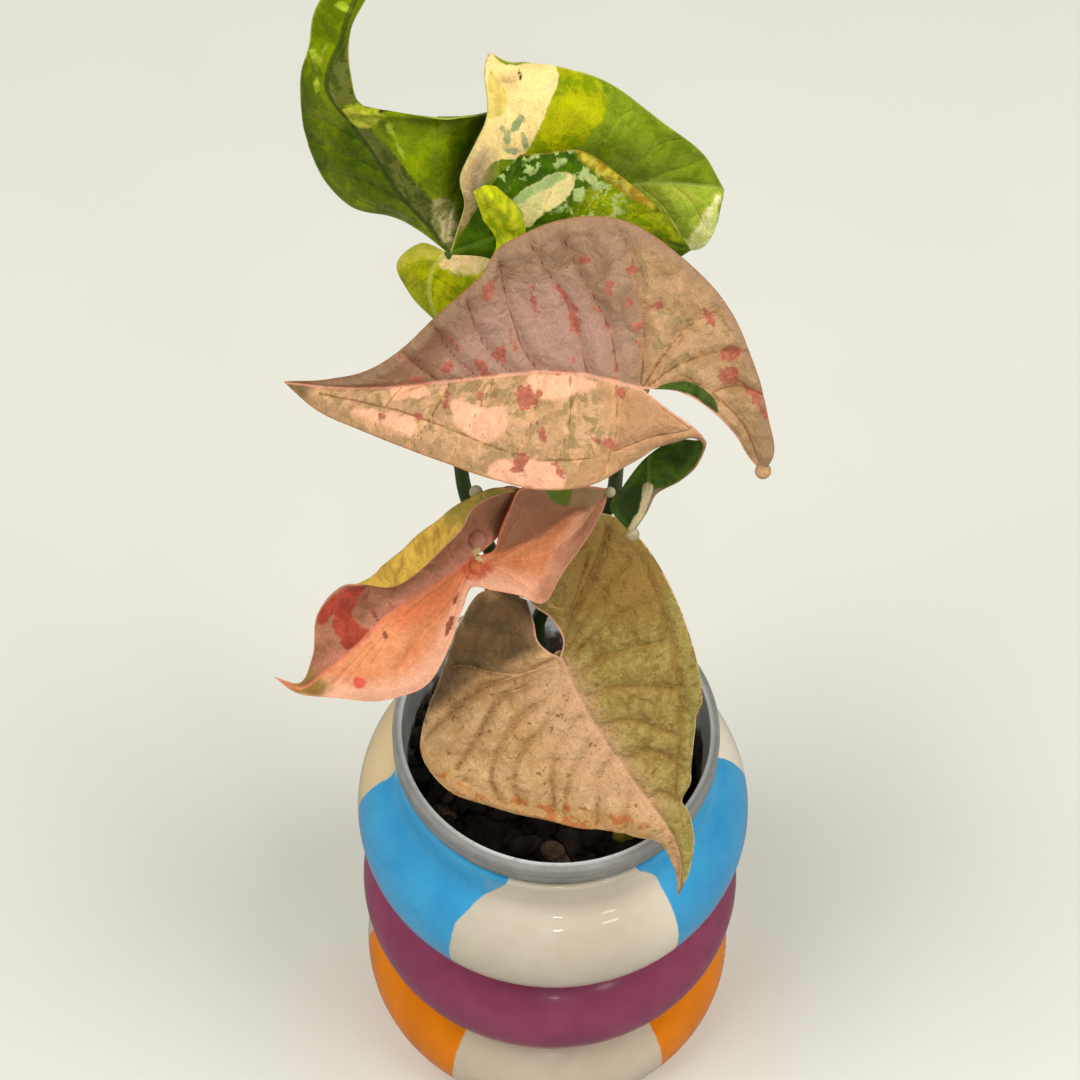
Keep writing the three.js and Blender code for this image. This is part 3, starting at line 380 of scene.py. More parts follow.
# Bark chips in sight: a sighting, half length, squash and tone
LOOSE_CHIPS = drawing("""
chips: 553 851 146 4.4 0.8 0.99, 622 834 147 5 0.6 2, 520 846 146 5.5 0.7 0.8,
590 838 146 5 0.8 0.8, 409 742 146 4.6 0.5 0.2, 413 722 147 3.6 0.5 0.1,
407 762 146 4.2 0.6 0.1, 420 706 146 3.6 0.5 0.2, 436 690 146 4.5 0.5 0.1,
418 776 146 4.5 0.6 0.1;
""")["chips"][0]


# ---- Sightings and curves -------------------------------------------------

def sight(marks):
    """Points in space of sightings"""
    marks = np.asarray(marks, float)
    ray = (FORWARD
           + RIGHTWARD * ((marks[..., 0:1] - PICTURE_CENTRE) / FOCAL_LENGTH)
           + UPWARD * ((PICTURE_CENTRE - marks[..., 1:2]) / FOCAL_LENGTH))
    return EYE + ray * ((marks[..., 2:3] - EYE[2]) / ray[..., 2:3])


def picture(points):
    """Column and row at which points are seen, and millimetres a picture point"""
    away = points - EYE
    depth = away @ FORWARD
    column = PICTURE_CENTRE + FOCAL_LENGTH * (away @ RIGHTWARD) / depth
    row = PICTURE_CENTRE - FOCAL_LENGTH * (away @ UPWARD) / depth
    return np.stack([column, row], -1), depth / FOCAL_LENGTH


def curve(points, place):
    """Smooth curve through the points, at places counted in points"""
    points = np.asarray(points, float)
    ends = np.concatenate([2 * points[:1] - points[1:2], points, 2 * points[-1:] - points[-2:-1]])
    before = np.minimum(np.floor(place), len(points) - 2).astype(int)
    share = (place - before).reshape((-1,) + (1,) * (points.ndim - 1))
    x0, x1, x2, x3 = (ends[before + number] for number in range(4))
    d0, d1, d2 = (np.sqrt(np.linalg.norm(other - one, axis=-1, keepdims=True))
                  for one, other in ((x0, x1), (x1, x2), (x2, x3)))
    d1 = np.where(d1 < 1e-4, 1, d1)
    d0 = np.where(d0 < 1e-4, d1, d0)
    d2 = np.where(d2 < 1e-4, d1, d2)
    leave = ((x1 - x0) / d0 - (x2 - x0) / (d0 + d1) + (x2 - x1) / d1) * d1
    arrive = ((x2 - x1) / d1 - (x3 - x1) / (d1 + d2) + (x3 - x2) / d2) * d1
    return (x1 + leave * share + (3 * (x2 - x1) - 2 * leave - arrive) * share ** 2
            + (2 * (x1 - x2) + leave + arrive) * share ** 3)


def smooth_line(points, steps=6):
    return curve(points, np.linspace(0, len(points) - 1, (len(points) - 1) * steps + 1))


def ease(value, start, end):
    """Rises smoothly from 0 at the start to 1 at the end"""
    share = np.clip((value - start) / (end - start), 0, 1)
    return share * share * (3 - 2 * share)


def to_line(places, line):
    """Distance in the picture to a drawn line, and the share along it"""
    start, step = line[:-1], np.diff(line, axis=0)
    away = places[:, None] - start
    share = np.clip((away * step).sum(-1) / np.maximum((step ** 2).sum(-1), 1e-9), 0, 1)
    gap = np.linalg.norm(away - share[..., None] * step, axis=-1)
    nearest = gap.argmin(1)
    rows = np.arange(len(places))
    return gap[rows, nearest], (nearest + share[rows, nearest]) / len(start)


def to_veins(places, veins):
    """Distance to the nearest vein, counted larger where the vein is thinner"""
    best = np.full(len(places), 1e3)
    for vein_line in veins:
        gap, share = to_line(places, smooth_line(vein_line))
        best = np.minimum(best, gap / (1 - 0.5 * share))
    return best


def to_outline(places, outline):
    """Distance to a smooth outline in the picture, positive inside it"""
    count = len(outline)
    line = curve(np.array(outline * 3, float), np.linspace(count, 2 * count, count * 5 + 1))
    gap, _ = to_line(places, line)
    inside = np.zeros(len(places), bool)
    for (x0, y0), (x1, y1) in zip(line[:-1], line[1:]):
        if y0 != y1:
            crossing = x0 + (places[:, 1] - y0) / (y1 - y0) * (x1 - x0)
            inside ^= ((y0 > places[:, 1]) != (y1 > places[:, 1])) & (places[:, 0] < crossing)
    return np.where(inside, gap, -gap)


def to_fleck(places, fleck):
    """Distance to a fleck's edge, positive inside it"""
    column, row, half_length, half_width, lean = fleck
    away = places - (column, row)
    turn = math.radians(lean)
    along = away[:, 0] * math.cos(turn) + away[:, 1] * math.sin(turn)
    beside = away[:, 1] * math.cos(turn) - away[:, 0] * math.sin(turn)
    reach = np.hypot(along / half_length, beside / half_width)
    return (1 - reach) * min(half_length, half_width)


def marks_of(form, places, scale):
    """How far inside each of a form's marks the places lie, in millimetres"""
    marks = {}
    for name, shapes in form.items():
        if name not in FORM_ENTRIES:
            flecks = len(shapes[0][0]) == 5
            inside = ([to_fleck(places, fleck) for fleck in shapes[0]] if flecks
                      else [to_outline(places, outline) for outline in shapes])
            marks[name] = np.clip(np.max(inside, axis=0) * scale, -FAR_OFF, FAR_OFF)
    return marks


# ---- Shaping --------------------------------------------------------------

def take(*pieces):
    """Leaves edit mode with only these pieces selected, the first one active"""
    if bpy.context.object and bpy.context.object.mode != "OBJECT":
        bpy.ops.object.mode_set(mode="OBJECT")
    bpy.ops.object.select_all(action="DESELECT")
    for piece in pieces[::-1]:
        piece.select_set(True)
        bpy.context.view_layer.objects.active = piece


def added(primitive, **values):
    """The object that a primitive's operator adds, selected alone"""
    take()
    primitive(**values)
    return bpy.context.object


def in_edit_mode(piece, operator, **values):
    """Uses an operator on the whole of a piece's mesh"""
    take(piece)
    bpy.ops.object.mode_set(mode="EDIT")
    bpy.ops.mesh.select_all(action="SELECT")
    operator(**values)
    bpy.ops.object.mode_set(mode="OBJECT")


def turn_outward(piece):
    in_edit_mode(piece, bpy.ops.mesh.normals_make_consistent, inside=False)


def apply_modifier(piece, kind, **values):
    modifier = piece.modifiers.new(kind.lower(), kind)
    for name, value in values.items():
        setattr(modifier, name, value)
    take(piece)
    bpy.ops.object.modifier_apply(modifier=modifier.name)


def points_of(piece):
    """Places of a piece's points, in millimetres"""
    flat = np.empty(3 * len(piece.data.vertices))
    piece.data.vertices.foreach_get("co", flat)
    return flat.reshape(-1, 3) / MM


def keep_mark(piece, name, values):
    """Keeps a number on each point of a piece"""
    layer_of = piece.data.attributes.new(name, "FLOAT", "POINT")
    count = len(piece.data.vertices)
    layer_of.data.foreach_set("value", np.broadcast_to(values, count).astype(np.float32))


def sheet(net, marks):
    """A grid bent to a net of points, which keeps the marks on its points"""
    across, along = net.shape[0] - 1, net.shape[1] - 1
    piece = added(bpy.ops.mesh.primitive_grid_add,
                  x_subdivisions=along, y_subdivisions=across, size=1)
    flat = points_of(piece) * MM
    i = np.rint((flat[:, 0] + 0.5) * along).astype(int)
    j = np.rint((flat[:, 1] + 0.5) * across).astype(int)
    piece.data.vertices.foreach_set("co", (net[j, i] * MM).ravel())
    for name, values in marks.items():
        keep_mark(piece, name, np.broadcast_to(values, net.shape[:2])[j, i])
    piece.data.update()
    return piece


def join(pieces, weld=0.0):
    """One piece made of several, with points closer than weld merged"""
    take(*pieces)
    if len(pieces) > 1:
        bpy.ops.object.join()
    joined = bpy.context.object
    if weld:
        in_edit_mode(joined, bpy.ops.mesh.remove_doubles, threshold=weld)
    return joined


def ring_net(centres, sizes, facing, upright, sides):
    """Net of circles about the centres, square to the way that each faces"""
    side = np.cross(facing, upright)
    side /= np.linalg.norm(side, axis=1, keepdims=True)
    other = np.cross(facing, side)
    angle = np.linspace(0, 2 * math.pi, sides + 1)
    return (centres + sizes[:, None] * (np.cos(angle)[:, None, None] * side
                                        + np.sin(angle)[:, None, None] * other))


# Ends of a bar: how far each ring stands out, and its size, as shares of the
# bar's radius
ROUND_END = np.sin(np.radians([90, 66, 42, 20])), np.cos(np.radians([90, 66, 42, 20]))
FLAT_END = np.zeros(1), np.zeros(1)


def bar(path, radii, sides, marks, end, upright):
    """A closed bar along a path, which keeps the marks along it"""
    tangent = np.gradient(path, axis=0)
    tangent /= np.linalg.norm(tangent, axis=1, keepdims=True)
    lift, share = end[0][:, None], end[1]
    centres = np.vstack([path[0] - tangent[0] * radii[0] * lift, path,
                         path[-1] + tangent[-1] * radii[-1] * lift[::-1]])
    sizes = np.concatenate([radii[0] * share, radii, radii[-1] * share[::-1]])
    more = (len(share), len(share))
    facing = np.pad(tangent, (more, (0, 0)), mode="edge")
    net = ring_net(centres, sizes, facing, upright, sides)
    marks = {name: np.pad(values, more, mode="edge") for name, values in marks.items()}
    piece = join([sheet(net, marks)], WELD)
    turn_outward(piece)
    return piece


def turned(profile, steps):
    """A profile of radius and height spun round the upright axis"""
    piece = added(bpy.ops.mesh.primitive_plane_add, size=MM)
    bpy.ops.object.mode_set(mode="EDIT")
    bpy.ops.mesh.select_all(action="SELECT")
    bpy.ops.mesh.merge(type="CENTER")
    at = Vector((0, 0, 0))
    for place, (radius, height) in enumerate(profile):
        there = Vector((radius * MM, 0, height * MM))
        if place == 0:
            bpy.ops.transform.translate(value=there - at)
        else:
            bpy.ops.mesh.extrude_region_move(TRANSFORM_OT_translate={"value": there - at})
        at = there
    bpy.ops.mesh.select_all(action="SELECT")
    bpy.ops.mesh.spin(steps=steps, angle=2 * math.pi, center=(0, 0, 0), axis=(0, 0, 1))
    in_edit_mode(piece, bpy.ops.mesh.remove_doubles, threshold=WELD)
    turn_outward(piece)
    return piece


def place_in_mesh(piece):
    take(piece)
    bpy.ops.object.transform_apply(location=True, rotation=True, scale=True)


def finish_with(piece, *finishes):
    piece.data.materials.clear()
    for finish in finishes:
        piece.data.materials.append(finish)


def hand_over(piece, node, smooth_angle):
    """Smooths and names a dressed piece, which then stands for its node"""
    take(piece)
    bpy.ops.object.shade_smooth_by_angle(angle=math.radians(smooth_angle))
    piece.name = piece.data.name = node + "_dressed"
    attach(piece, "root")
    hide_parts(node)


# ---- Finishes -------------------------------------------------------------
# A colour of three numbers is in screen values from 0 to 255, one of four is in
# the renderer's own. Reliefs are in millimetres.

class Bench:
    """The node tree that is being worked on, and its shader"""
    tree = shader = None


class Wire:
    """What comes out of a node: sums and products of it are nodes too"""
    def __init__(self, socket):
        self.socket = socket

    def __add__(self, other):
        return calc("ADD", self, other)

    def __sub__(self, other):
        return calc("SUBTRACT", self, other)

    def __mul__(self, other):
        return calc("MULTIPLY", self, other)


def linear(value):
    value /= 255
    return value / 12.92 if value <= 0.04045 else ((value + 0.055) / 1.055) ** 2.4


def plug(socket, value):
    if isinstance(value, Wire):
        Bench.tree.links.new(value.socket, socket)
    elif socket.type == "RGBA" and len(value) == 3:
        socket.default_value = (*map(linear, value), 1.0)
    else:
        socket.default_value = value


def node(kind, output, inputs, **settings):
    """A new node, by its settings and inputs, and one of its outputs"""
    made = Bench.tree.nodes.new("ShaderNode" + kind)
    for name, value in settings.items():
        setattr(made, name, value)
    for name, value in inputs.items():
        plug(made.inputs[name], value)
    return Wire(made.outputs[output])


def calc(operation, *values):
    return node("Math", 0, dict(enumerate(values)), operation=operation)


def rise(*values):
    """Smooth step of a value between a start and an end, from low to high"""
    return node("MapRange", 0, dict(enumerate(values)), interpolation_type="SMOOTHSTEP")


def layer(under, over, share, way="MIX"):
    return node("Mix", 2, {0: share, 6: under, 7: over}, data_type="RGBA", blend_type=way)


def coats(colour, *rows):
    """Colours laid over a colour one after another, each with its share"""
    for row in rows:
        colour = layer(colour, *row)
    return colour


def tinted(colour, tint, share):
    """A colour multiplied by a tint, as far as the share says"""
    return layer(colour, layer(colour, tint, 1.0, "MULTIPLY"), share)


def mark(name):
    return node("Attribute", "Fac", {}, attribute_name=name)


def where():
    return node("TexCoord", "Object", {})


def along(axis):
    """How far along an axis of the piece, in metres"""
    return node("SeparateXYZ", axis, {0: where()})


def stretched(scale, turn=(0, 0, 0)):
    """Object coordinates, turned and then scaled along each axis"""
    return node("Mapping", 0, {"Scale": scale, "Rotation": turn, "Vector": where()})


def noise(scale, detail=2.0, vector=None, roughness=0.5, distortion=0.0):
    return node("TexNoise", "Fac", {
        "Scale": scale, "Detail": detail, "Roughness": roughness, "Distortion": distortion,
        "Vector": vector or where()})


def cells(scale, feature="F1", vector=None):
    return node("TexVoronoi", "Distance", {"Scale": scale, "Vector": vector or where()},
                feature=feature)


def new_group(name, inputs, *outputs):
    """An empty group on the bench, the wires of its inputs and its end sockets"""
    tree = Bench.tree = bpy.data.node_groups.new(name, "ShaderNodeTree")
    kind = {"socket_type": "NodeSocketFloat"}
    for socket, value in inputs.items():
        tree.interface.new_socket(socket, in_out="INPUT", **kind).default_value = value
    for socket in outputs:
        tree.interface.new_socket(socket, in_out="OUTPUT", **kind)
    given = tree.nodes.new("NodeGroupInput").outputs
    ends = tree.nodes.new("NodeGroupOutput").inputs
    return tree, [Wire(given[socket]) for socket in inputs], ends


def ragged_patch_group():
    """Mask of a patch from the distance inside its edge, made ragged"""
    tree, (inside, softness, raggedness, size), out = new_group(
        "ragged patch", {"Inside": 0.0, "Softness": 0.4, "Raggedness": 0.5, "Size": 600.0}, "Mask")
    edge = inside + (noise(size, 4.0) - 0.5) * (raggedness * 4.0)
    plug(out["Mask"], rise(edge, softness * -1.0, softness))
    return tree


def vein_line_group():
    """Mask of a vein from the distance to it, a little uneven in width"""
    tree, (distance, width), out = new_group("vein line", {"Distance": 5.0, "Width": 0.5}, "Mask")
    width = width * rise(noise(420.0), 0.3, 0.7, 0.7, 1.25)
    plug(out["Mask"], rise(distance, width * 0.35, width, 1.0, 0.0))
    return tree


def mottling_group():
    """Mask of soft uneven blotches"""
    tree, (size, level, softness), out = new_group(
        "mottling", {"Size": 150.0, "Level": 0.5, "Softness": 0.08}, "Mask")
    cloud = noise(size, 5.0, roughness=0.62, distortion=0.4)
    plug(out["Mask"], rise(cloud, level - softness, level + softness))
    return tree


def leaf_skin_group():
    """Fine cells of a leaf's skin: their relief, shade and net of small veins"""
    tree, (size,), out = new_group("leaf skin", {"Size": 1500.0}, "Height", "Shade", "Net")
    fine = noise(size * 1.7, 3.0)
    plug(out["Height"], cells(size) * -0.05 + fine * 0.05)
    plug(out["Shade"], rise(fine, 0.25, 0.75))
    wander = node("TexNoise", "Color", {"Scale": 260.0, "Vector": where()})
    small = node("VectorMath", 0, {0: wander, "Scale": 0.003}, operation="SCALE")
    bent = node("VectorMath", 0, {0: where(), 1: small}, operation="ADD")
    gap = cells(size * 0.22, "DISTANCE_TO_EDGE", bent)
    plug(out["Net"], rise(gap, 0.02, 0.09, 1.0, 0.0))
    return tree


RAGGED_PATCH, VEIN_LINE = ragged_patch_group(), vein_line_group()
MOTTLING, LEAF_SKIN = mottling_group(), leaf_skin_group()


def patch(name, softness, raggedness, size):
    return node("Group", "Mask", {"Inside": mark(name), "Softness": softness,
                                  "Raggedness": raggedness, "Size": size}, node_tree=RAGGED_PATCH)


def mottle(size, level=0.5, softness=0.08):
    return node("Group", "Mask", {"Size": size, "Level": level, "Softness": softness},
                node_tree=MOTTLING)


def mottled(one, other, *mottling):
    """Two colours in soft uneven blotches"""
    return layer(one, other, mottle(*mottling))


def vein(width):
    return node("Group", "Mask", {"Distance": mark("vein"), "Width": width}, node_tree=VEIN_LINE)


def skin(output):
    return node("Group", output, {"Size": 1500.0}, node_tree=LEAF_SKIN)


def to_shader(**inputs):
    for name, value in inputs.items():
        plug(Bench.shader.inputs[name.replace("_", " ")], value)


def new_finish(name, **uniform):
    """A material on the bench, with its uniform numbers set on the shader"""
    finish = bpy.data.materials.new(name)
    finish.use_nodes = True
    Bench.tree = finish.node_tree
    Bench.shader = Bench.tree.nodes["Principled BSDF"]
    to_shader(**uniform)
    return finish


def bump(height, strength=1.0):
    to_shader(Normal=node("Bump", "Normal", {
        "Strength": strength, "Distance": MM, "Height": height}))


def leaf_surface(colour, rough=0.42, pucker=0.35, relief=1.0):
    """Skin that every blade has: fine speckle, small veins and relief"""
    shade, net = skin("Shade"), skin("Net")
    dapple = mottle(520.0, 0.5, 0.2)
    colour = coats(
        colour,
        (layer((0.88, 0.87, 0.86, 1), (1.08, 1.08, 1.08, 1), shade), 1.0, "MULTIPLY"),
        (layer((0.93, 0.92, 0.91, 1), (1.04, 1.04, 1.04, 1), dapple), 1.0, "MULTIPLY"))
    to_shader(Base_Color=tinted(colour, (1.3, 1.26, 1.2, 1), net * 0.35),
              Roughness=rise(shade, 0.0, 1.0, rough - 0.07, rough + 0.1))
    sunk = rise(mark("vein"), 0.0, 0.9, -0.16, 0.0)
    waves = noise(170.0, 3.0, distortion=0.5) * (pucker * 2.5)
    bump(skin("Height") * relief + sunk + waves + net * -0.03)


def creased(colour, light, dark, width=0.4):
    """Veins as creases: a paler band along each vein, partly its colour and partly painted light,
    and a thin dark line of painted shade in the crease
    """
    colour = tinted(colour, (1.35, 1.3, 1.25, 1), rise(mark("vein"), 0.4, 2.0, light, 0.0))
    return tinted(colour, (0.5, 0.42, 0.36, 1), vein(width) * dark)


def rim_line(colour, tint, width=0.7, strength=0.7):
    """Thin coloured line along the very edge"""
    return layer(colour, tint, rise(mark("edge"), 0.1, width, strength, 0.0))


def midrib_line(colour, tint, width, strength):
    return layer(colour, tint, rise(mark("rib"), width * 0.35, width, strength, 0.0))


# ---- Skins of the leaves --------------------------------------------------

def stalk_finish(name, upper, lower):
    """Stalk skin: its upper and lower colour, with lengthwise streaks"""
    finish = new_finish(name, Specular_IOR_Level=0.35)
    streak = noise(260.0, 3.0, stretched((1.0, 1.0, 0.12)))
    leaf_surface(coats(upper, (lower, rise(mark("run"), 0.05, 0.9)),
                       ((0.5, 0.5, 0.5, 1), rise(streak, 0.45, 0.75, 0.0, 0.5), "MULTIPLY")),
                 0.42, 0.1)
    return finish


def pale_end_finish():
    """Pale wax-like ends of the lobes"""
    finish = new_finish("pale lobe end", Specular_IOR_Level=0.4, Coat_Weight=0.2)
    leaf_surface(mottled((196, 184, 152), (160, 150, 112), 300.0, 0.5, 0.15), 0.35, 0.05)
    return finish


def pink_upper():
    """Upper skin of the pink leaf"""
    finish = new_finish("pink leaf upper", Specular_IOR_Level=0.25)
    edge = mark("edge")
    beige = coats(mottled((194, 156, 114), (166, 132, 92), 190.0, 0.5, 0.12),
                  ((138, 126, 82), mottle(210.0, 0.6, 0.06) * 0.6))
    band = rise(edge, 2.0, 4.5, 0.75, 0.0) * rise(noise(120.0), 0.3, 0.5, 0.5, 1.0)
    ragged = rise(noise(240.0), 0.35, 0.65, 0.6, 1.0)
    far = coats(
        mottled((166, 134, 108), (142, 110, 86), 170.0, 0.52, 0.14),
        ((172, 136, 120), patch("mauve", 5.0, 2.0, 150.0)),
        ((140, 100, 78), patch("shaded", 5.0, 1.5, 150.0)),
        (beige, patch("beige", 3.5, 2.0, 120.0)),
        ((158, 128, 100), band),
        # Painted shade in the hollows along the veins, unevenly
        ((0.78, 0.7, 0.66, 1), rise(mark("vein"), 0.2, 2.4, 0.75, 0.0) * ragged, "MULTIPLY"))
    low = mottled((200, 154, 114), (172, 136, 92), 260.0, 0.5, 0.06)
    near = coats(
        mottled((206, 164, 122), (160, 134, 92), 230.0, 0.51, 0.05),
        ((188, 146, 108), mottle(130.0, 0.52, 0.08) * 0.7),
        ((184, 140, 100), patch("bend", 4.0, 2.0, 180.0)),
        ((242, 184, 146), patch("blush", 0.6, 0.9, 300.0)),
        (low, rise(edge, 2.5, 4.5, 0.6, 0.0)),
        ((236, 176, 142), patch("salmon", 0.6, 0.5, 300.0)))
    colour = coats(near, (far, mark("far")), ((112, 96, 54), patch("tip", 3.0, 1.0, 300.0)))
    colour = layer(creased(colour, 0.45, 0.85, 0.5),
                   mottled((160, 88, 70), (184, 104, 86), 600.0),
                   patch("fleck", 0.3, 1.2, 420.0) * 0.9)
    colour = layer(midrib_line(colour, (234, 172, 146), 0.9, 0.75),
                   mottled((70, 92, 30), (48, 68, 18), 240.0, 0.5, 0.1),
                   patch("crescent", 0.3, 0.15, 600.0))
    leaf_surface(rim_line(colour, (158, 108, 66)), 0.46, 0.8)
    return finish


def pink_under():
    """Underside of the pink leaf: green, mottled, with paler veins"""
    finish = new_finish("pink leaf underside", Specular_IOR_Level=0.3)
    colour = coats(
        mottled((92, 122, 26), (60, 88, 14), 160.0, 0.5, 0.12),
        ((46, 66, 8), patch("shade", 4.0, 1.0, 200.0)),
        ((138, 158, 62), vein(0.8) * 0.5),
        ((212, 196, 150), patch("stripe", 0.3, 0.3, 500.0)),
        ((156, 128, 112), patch("grey", 0.4, 0.3, 500.0)))
    leaf_surface(rim_line(colour, (150, 128, 78)), 0.42, 0.3)
    return finish


def curled_upper():
    """Upper skin of the curled leaf"""
    finish = new_finish("curled leaf upper", Specular_IOR_Level=0.25)
    near = coats(
        mottled((228, 150, 104), (208, 130, 84), 130.0, 0.5, 0.12),
        ((224, 128, 82), patch("warm", 3.5, 1.5, 150.0)),
        ((236, 176, 144), rise(mark("edge"), 3.0, 10.0, 0.9, 0.0)))
    far = coats(mottled((172, 116, 88), (148, 94, 68), 150.0, 0.52, 0.1),
                ((206, 136, 112), rise(mark("rib"), 1.0, 6.0, 0.75, 0.0)))
    colour = coats(
        near,
        (far, mark("far")),
        ((146, 112, 56), patch("tip", 2.5, 1.5, 200.0)),
        # The lobe's inner face: its darker mauve-brown colour, with painted shade near the fold
        ((154, 106, 80), patch("inner", 1.2, 0.8, 200.0)),
        ((180, 124, 94), patch("mauve", 3.0, 1.5, 150.0)),
        (mottled((176, 74, 54), (156, 60, 44), 300.0), patch("red", 0.5, 0.7, 450.0)),
        ((222, 96, 80), patch("spot", 0.3, 0.3, 500.0)),
        ((92, 114, 26), patch("green", 0.4, 0.3, 500.0)),
        ((152, 122, 88), patch("beige", 0.4, 0.3, 500.0)))
    colour = layer(creased(colour, 0.3, 0.35), (150, 84, 62), patch("fleck", 0.25, 0.35, 900.0))
    colour = coats(
        midrib_line(colour, (226, 128, 98), 0.9, 0.7),
        (mottled((222, 118, 74), (192, 76, 48), 420.0, 0.52, 0.05),
         patch("joint", 0.8, 0.8, 500.0) * 0.75),
        ((190, 130, 108), patch("knob", 1.5, 0.5, 300.0)),
        ((214, 196, 140), patch("slit", 0.3, 0.2, 500.0)))
    leaf_surface(rim_line(colour, (214, 156, 130), 0.6, 0.6), 0.42, 0.35)
    return finish


def curled_under():
    """Underside of the curled leaf, shown by the rolled half: yellow"""
    finish = new_finish("curled leaf underside", Specular_IOR_Level=0.25)
    # Painted shade of the roll's wrinkles, as darker streaks
    painted_wrinkle_shade = noise(260.0, 3.0, stretched((1.5, 0.5, 1.0), (0, 0, 0.5)), distortion=0.6)
    leaf_surface(coats(
        mottled((214, 174, 76), (190, 154, 60), 110.0, 0.5, 0.15),
        ((150, 116, 46), rise(painted_wrinkle_shade, 0.48, 0.7, 0.0, 0.7)),
        ((150, 134, 62), patch("roll end", 5.0, 2.0, 200.0))), 0.45, 0.9)
    return finish


def olive_upper():
    """Upper skin of the olive leaf"""
    finish = new_finish("olive leaf upper", Specular_IOR_Level=0.22)
    # Painted shade in the hollows along the veins, unevenly
    painted_valley_shade = rise(mark("vein"), 0.2, 2.6, 0.75, 0.0) * rise(noise(260.0, 3.0), 0.3, 0.6, 0.55, 1.0)
    near = coats(mottled((208, 170, 122), (184, 144, 96), 150.0, 0.5, 0.14),
                 ((148, 108, 64), painted_valley_shade))
    far = coats(
        mottled((156, 134, 70), (136, 112, 54), 150.0, 0.5, 0.14),
        ((150, 142, 74), rise(mark("edge"), 1.0, 9.0, 0.6, 0.0)),
        ((174, 154, 92), mottle(420.0, 0.53, 0.05) * 0.6),
        ((138, 104, 50), painted_valley_shade * 0.8))
    colour = coats(
        near,
        (far, mark("far")),
        (mottled((122, 96, 66), (98, 78, 52), 170.0, 0.5, 0.15),
         patch("grey", 3.5, 2.0, 150.0)),
        ((204, 164, 124), patch("centre", 5.0, 2.0, 150.0) * 0.8),
        ((152, 120, 60), patch("golden", 4.0, 1.5, 150.0)),
        ((132, 88, 40), mottle(360.0, 0.63, 0.03) * 0.75),
        ((130, 92, 52), mottle(900.0, 0.62, 0.04) * 0.55),
        (mottled((194, 152, 98), (184, 108, 54), 190.0, 0.55, 0.03),
         patch("rust", 1.2, 1.2, 300.0) * 0.85),
        # Veins: pale lines on the near half, dark lines of painted shade in their grooves on the
        # far half
        (layer((226, 188, 146), (118, 86, 44), mark("far")), vein(0.4) * 0.55))
    colour = layer(midrib_line(colour, (212, 164, 132), 0.9, 0.85),
                   (196, 178, 110), patch("sinus", 0.2, 0.1, 500.0))
    rim = mottled((214, 186, 122), (140, 98, 52), 200.0, 0.52, 0.05)
    leaf_surface(rim_line(colour, rim, 0.6, 0.75), 0.46, 0.8, 1.3)
    return finish


def plain_under(name, specular, *colours):
    """A dull underside: two mottled colours and paler veins"""
    finish = new_finish(name + " leaf underside", Specular_IOR_Level=specular)
    one, other, vein_tint = colours
    leaf_surface(layer(mottled(one, other, 150.0, 0.5, 0.15), vein_tint, vein(0.8) * 0.6), 0.5)
    return finish


# Lobes of the green leaf: its drawing, rows across and rows to a sighting, name
# of the lobe, two main colours, the edge's and the midrib's, then its patches
# one over another, each with two colours, a softness and a raggedness
GREEN_LOBES = [
    ("tall", (26, 8), "tall", (120, 134, 0), (90, 110, 0), (168, 176, 80), (44, 60, 20), [
        ("shade", (76, 96, 0), (60, 82, 4), 3.0, 1.5),
        ("lime", (132, 148, 0), (118, 136, 0), 2.0, 1.0),
        ("silver", (96, 100, 40), (66, 78, 20), 0.6, 0.6),
        ("yellow", (196, 196, 60), (150, 160, 30), 0.6, 0.8),
        ("fleck", (168, 186, 50), (140, 164, 36), 0.4, 0.5),
        ("hub", (190, 176, 130), (128, 130, 66), 1.2, 1.0)]),
    ("right", (34, 14), "right", (132, 152, 28), (106, 130, 12), (196, 190, 110), (160, 178, 78), [
        ("low", (168, 180, 60), (142, 162, 42), 2.5, 1.5),
        ("lime", (166, 170, 0), (128, 146, 0), 0.3, 0.5),
        ("bright", (182, 184, 0), (168, 174, 0), 0.6, 0.6),
        ("cream", (250, 224, 148), (240, 208, 140), 0.25, 0.35),
        ("flap", (226, 204, 112), (214, 190, 96), 0.3, 0.1),
        ("foot", (196, 172, 132), (178, 150, 112), 3.0, 1.0),
        ("grey", (146, 160, 106), (168, 172, 122), 0.3, 0.5),
        ("corner", (228, 224, 164), (196, 204, 110), 0.5, 0.8)]),
    ("front", (22, 12), "front", (70, 100, 0), (48, 78, 0), (150, 124, 40), (96, 122, 30), [
        ("olive", (146, 154, 10), (112, 130, 4), 2.5, 2.5),
        ("yellow", (190, 176, 52), (150, 120, 30), 0.8, 0.8),
        ("mint", (222, 206, 138), (208, 200, 132), 0.3, 0.5),
        ("shade", (148, 172, 104), (160, 180, 112), 0.5, 0.5),
        ("fleck", (150, 174, 96), (176, 190, 120), 0.4, 0.7)]),
    ("earlobe", (18, 16), "small", (162, 162, 0), (120, 132, 0), (176, 170, 70), (170, 170, 70), [
        ("lime", (186, 178, 70), (170, 170, 50), 1.5, 1.2),
        ("blush", (224, 194, 142), (196, 176, 110), 0.8, 1.0)]),
]


def green_upper(lobe, base, dark, edge, rib, patches):
    """Upper skin of a green lobe"""
    finish = new_finish(f"green leaf {lobe} lobe", Specular_IOR_Level=0.15)
    colour = coats(
        mottled(base, dark, 150.0, 0.5, 0.1),
        *((mottled(tint, other, 260.0, 0.5, 0.06), patch(name, softness, raggedness, 420.0))
          for name, tint, other, softness, raggedness in patches),
        ((164, 184, 110), mottle(420.0, 0.56, 0.025) * patch("speckled", 1.5, 0.6, 300.0)))
    colour = midrib_line(creased(colour, 0.3, 0.5), rib, 1.0, 0.7)
    colour = layer(colour, (70, 50, 26), patch("nick", 0.25, 0.3, 900.0))
    leaf_surface(rim_line(colour, edge, 0.7, 0.6), 0.32, 0.35)
    return finish


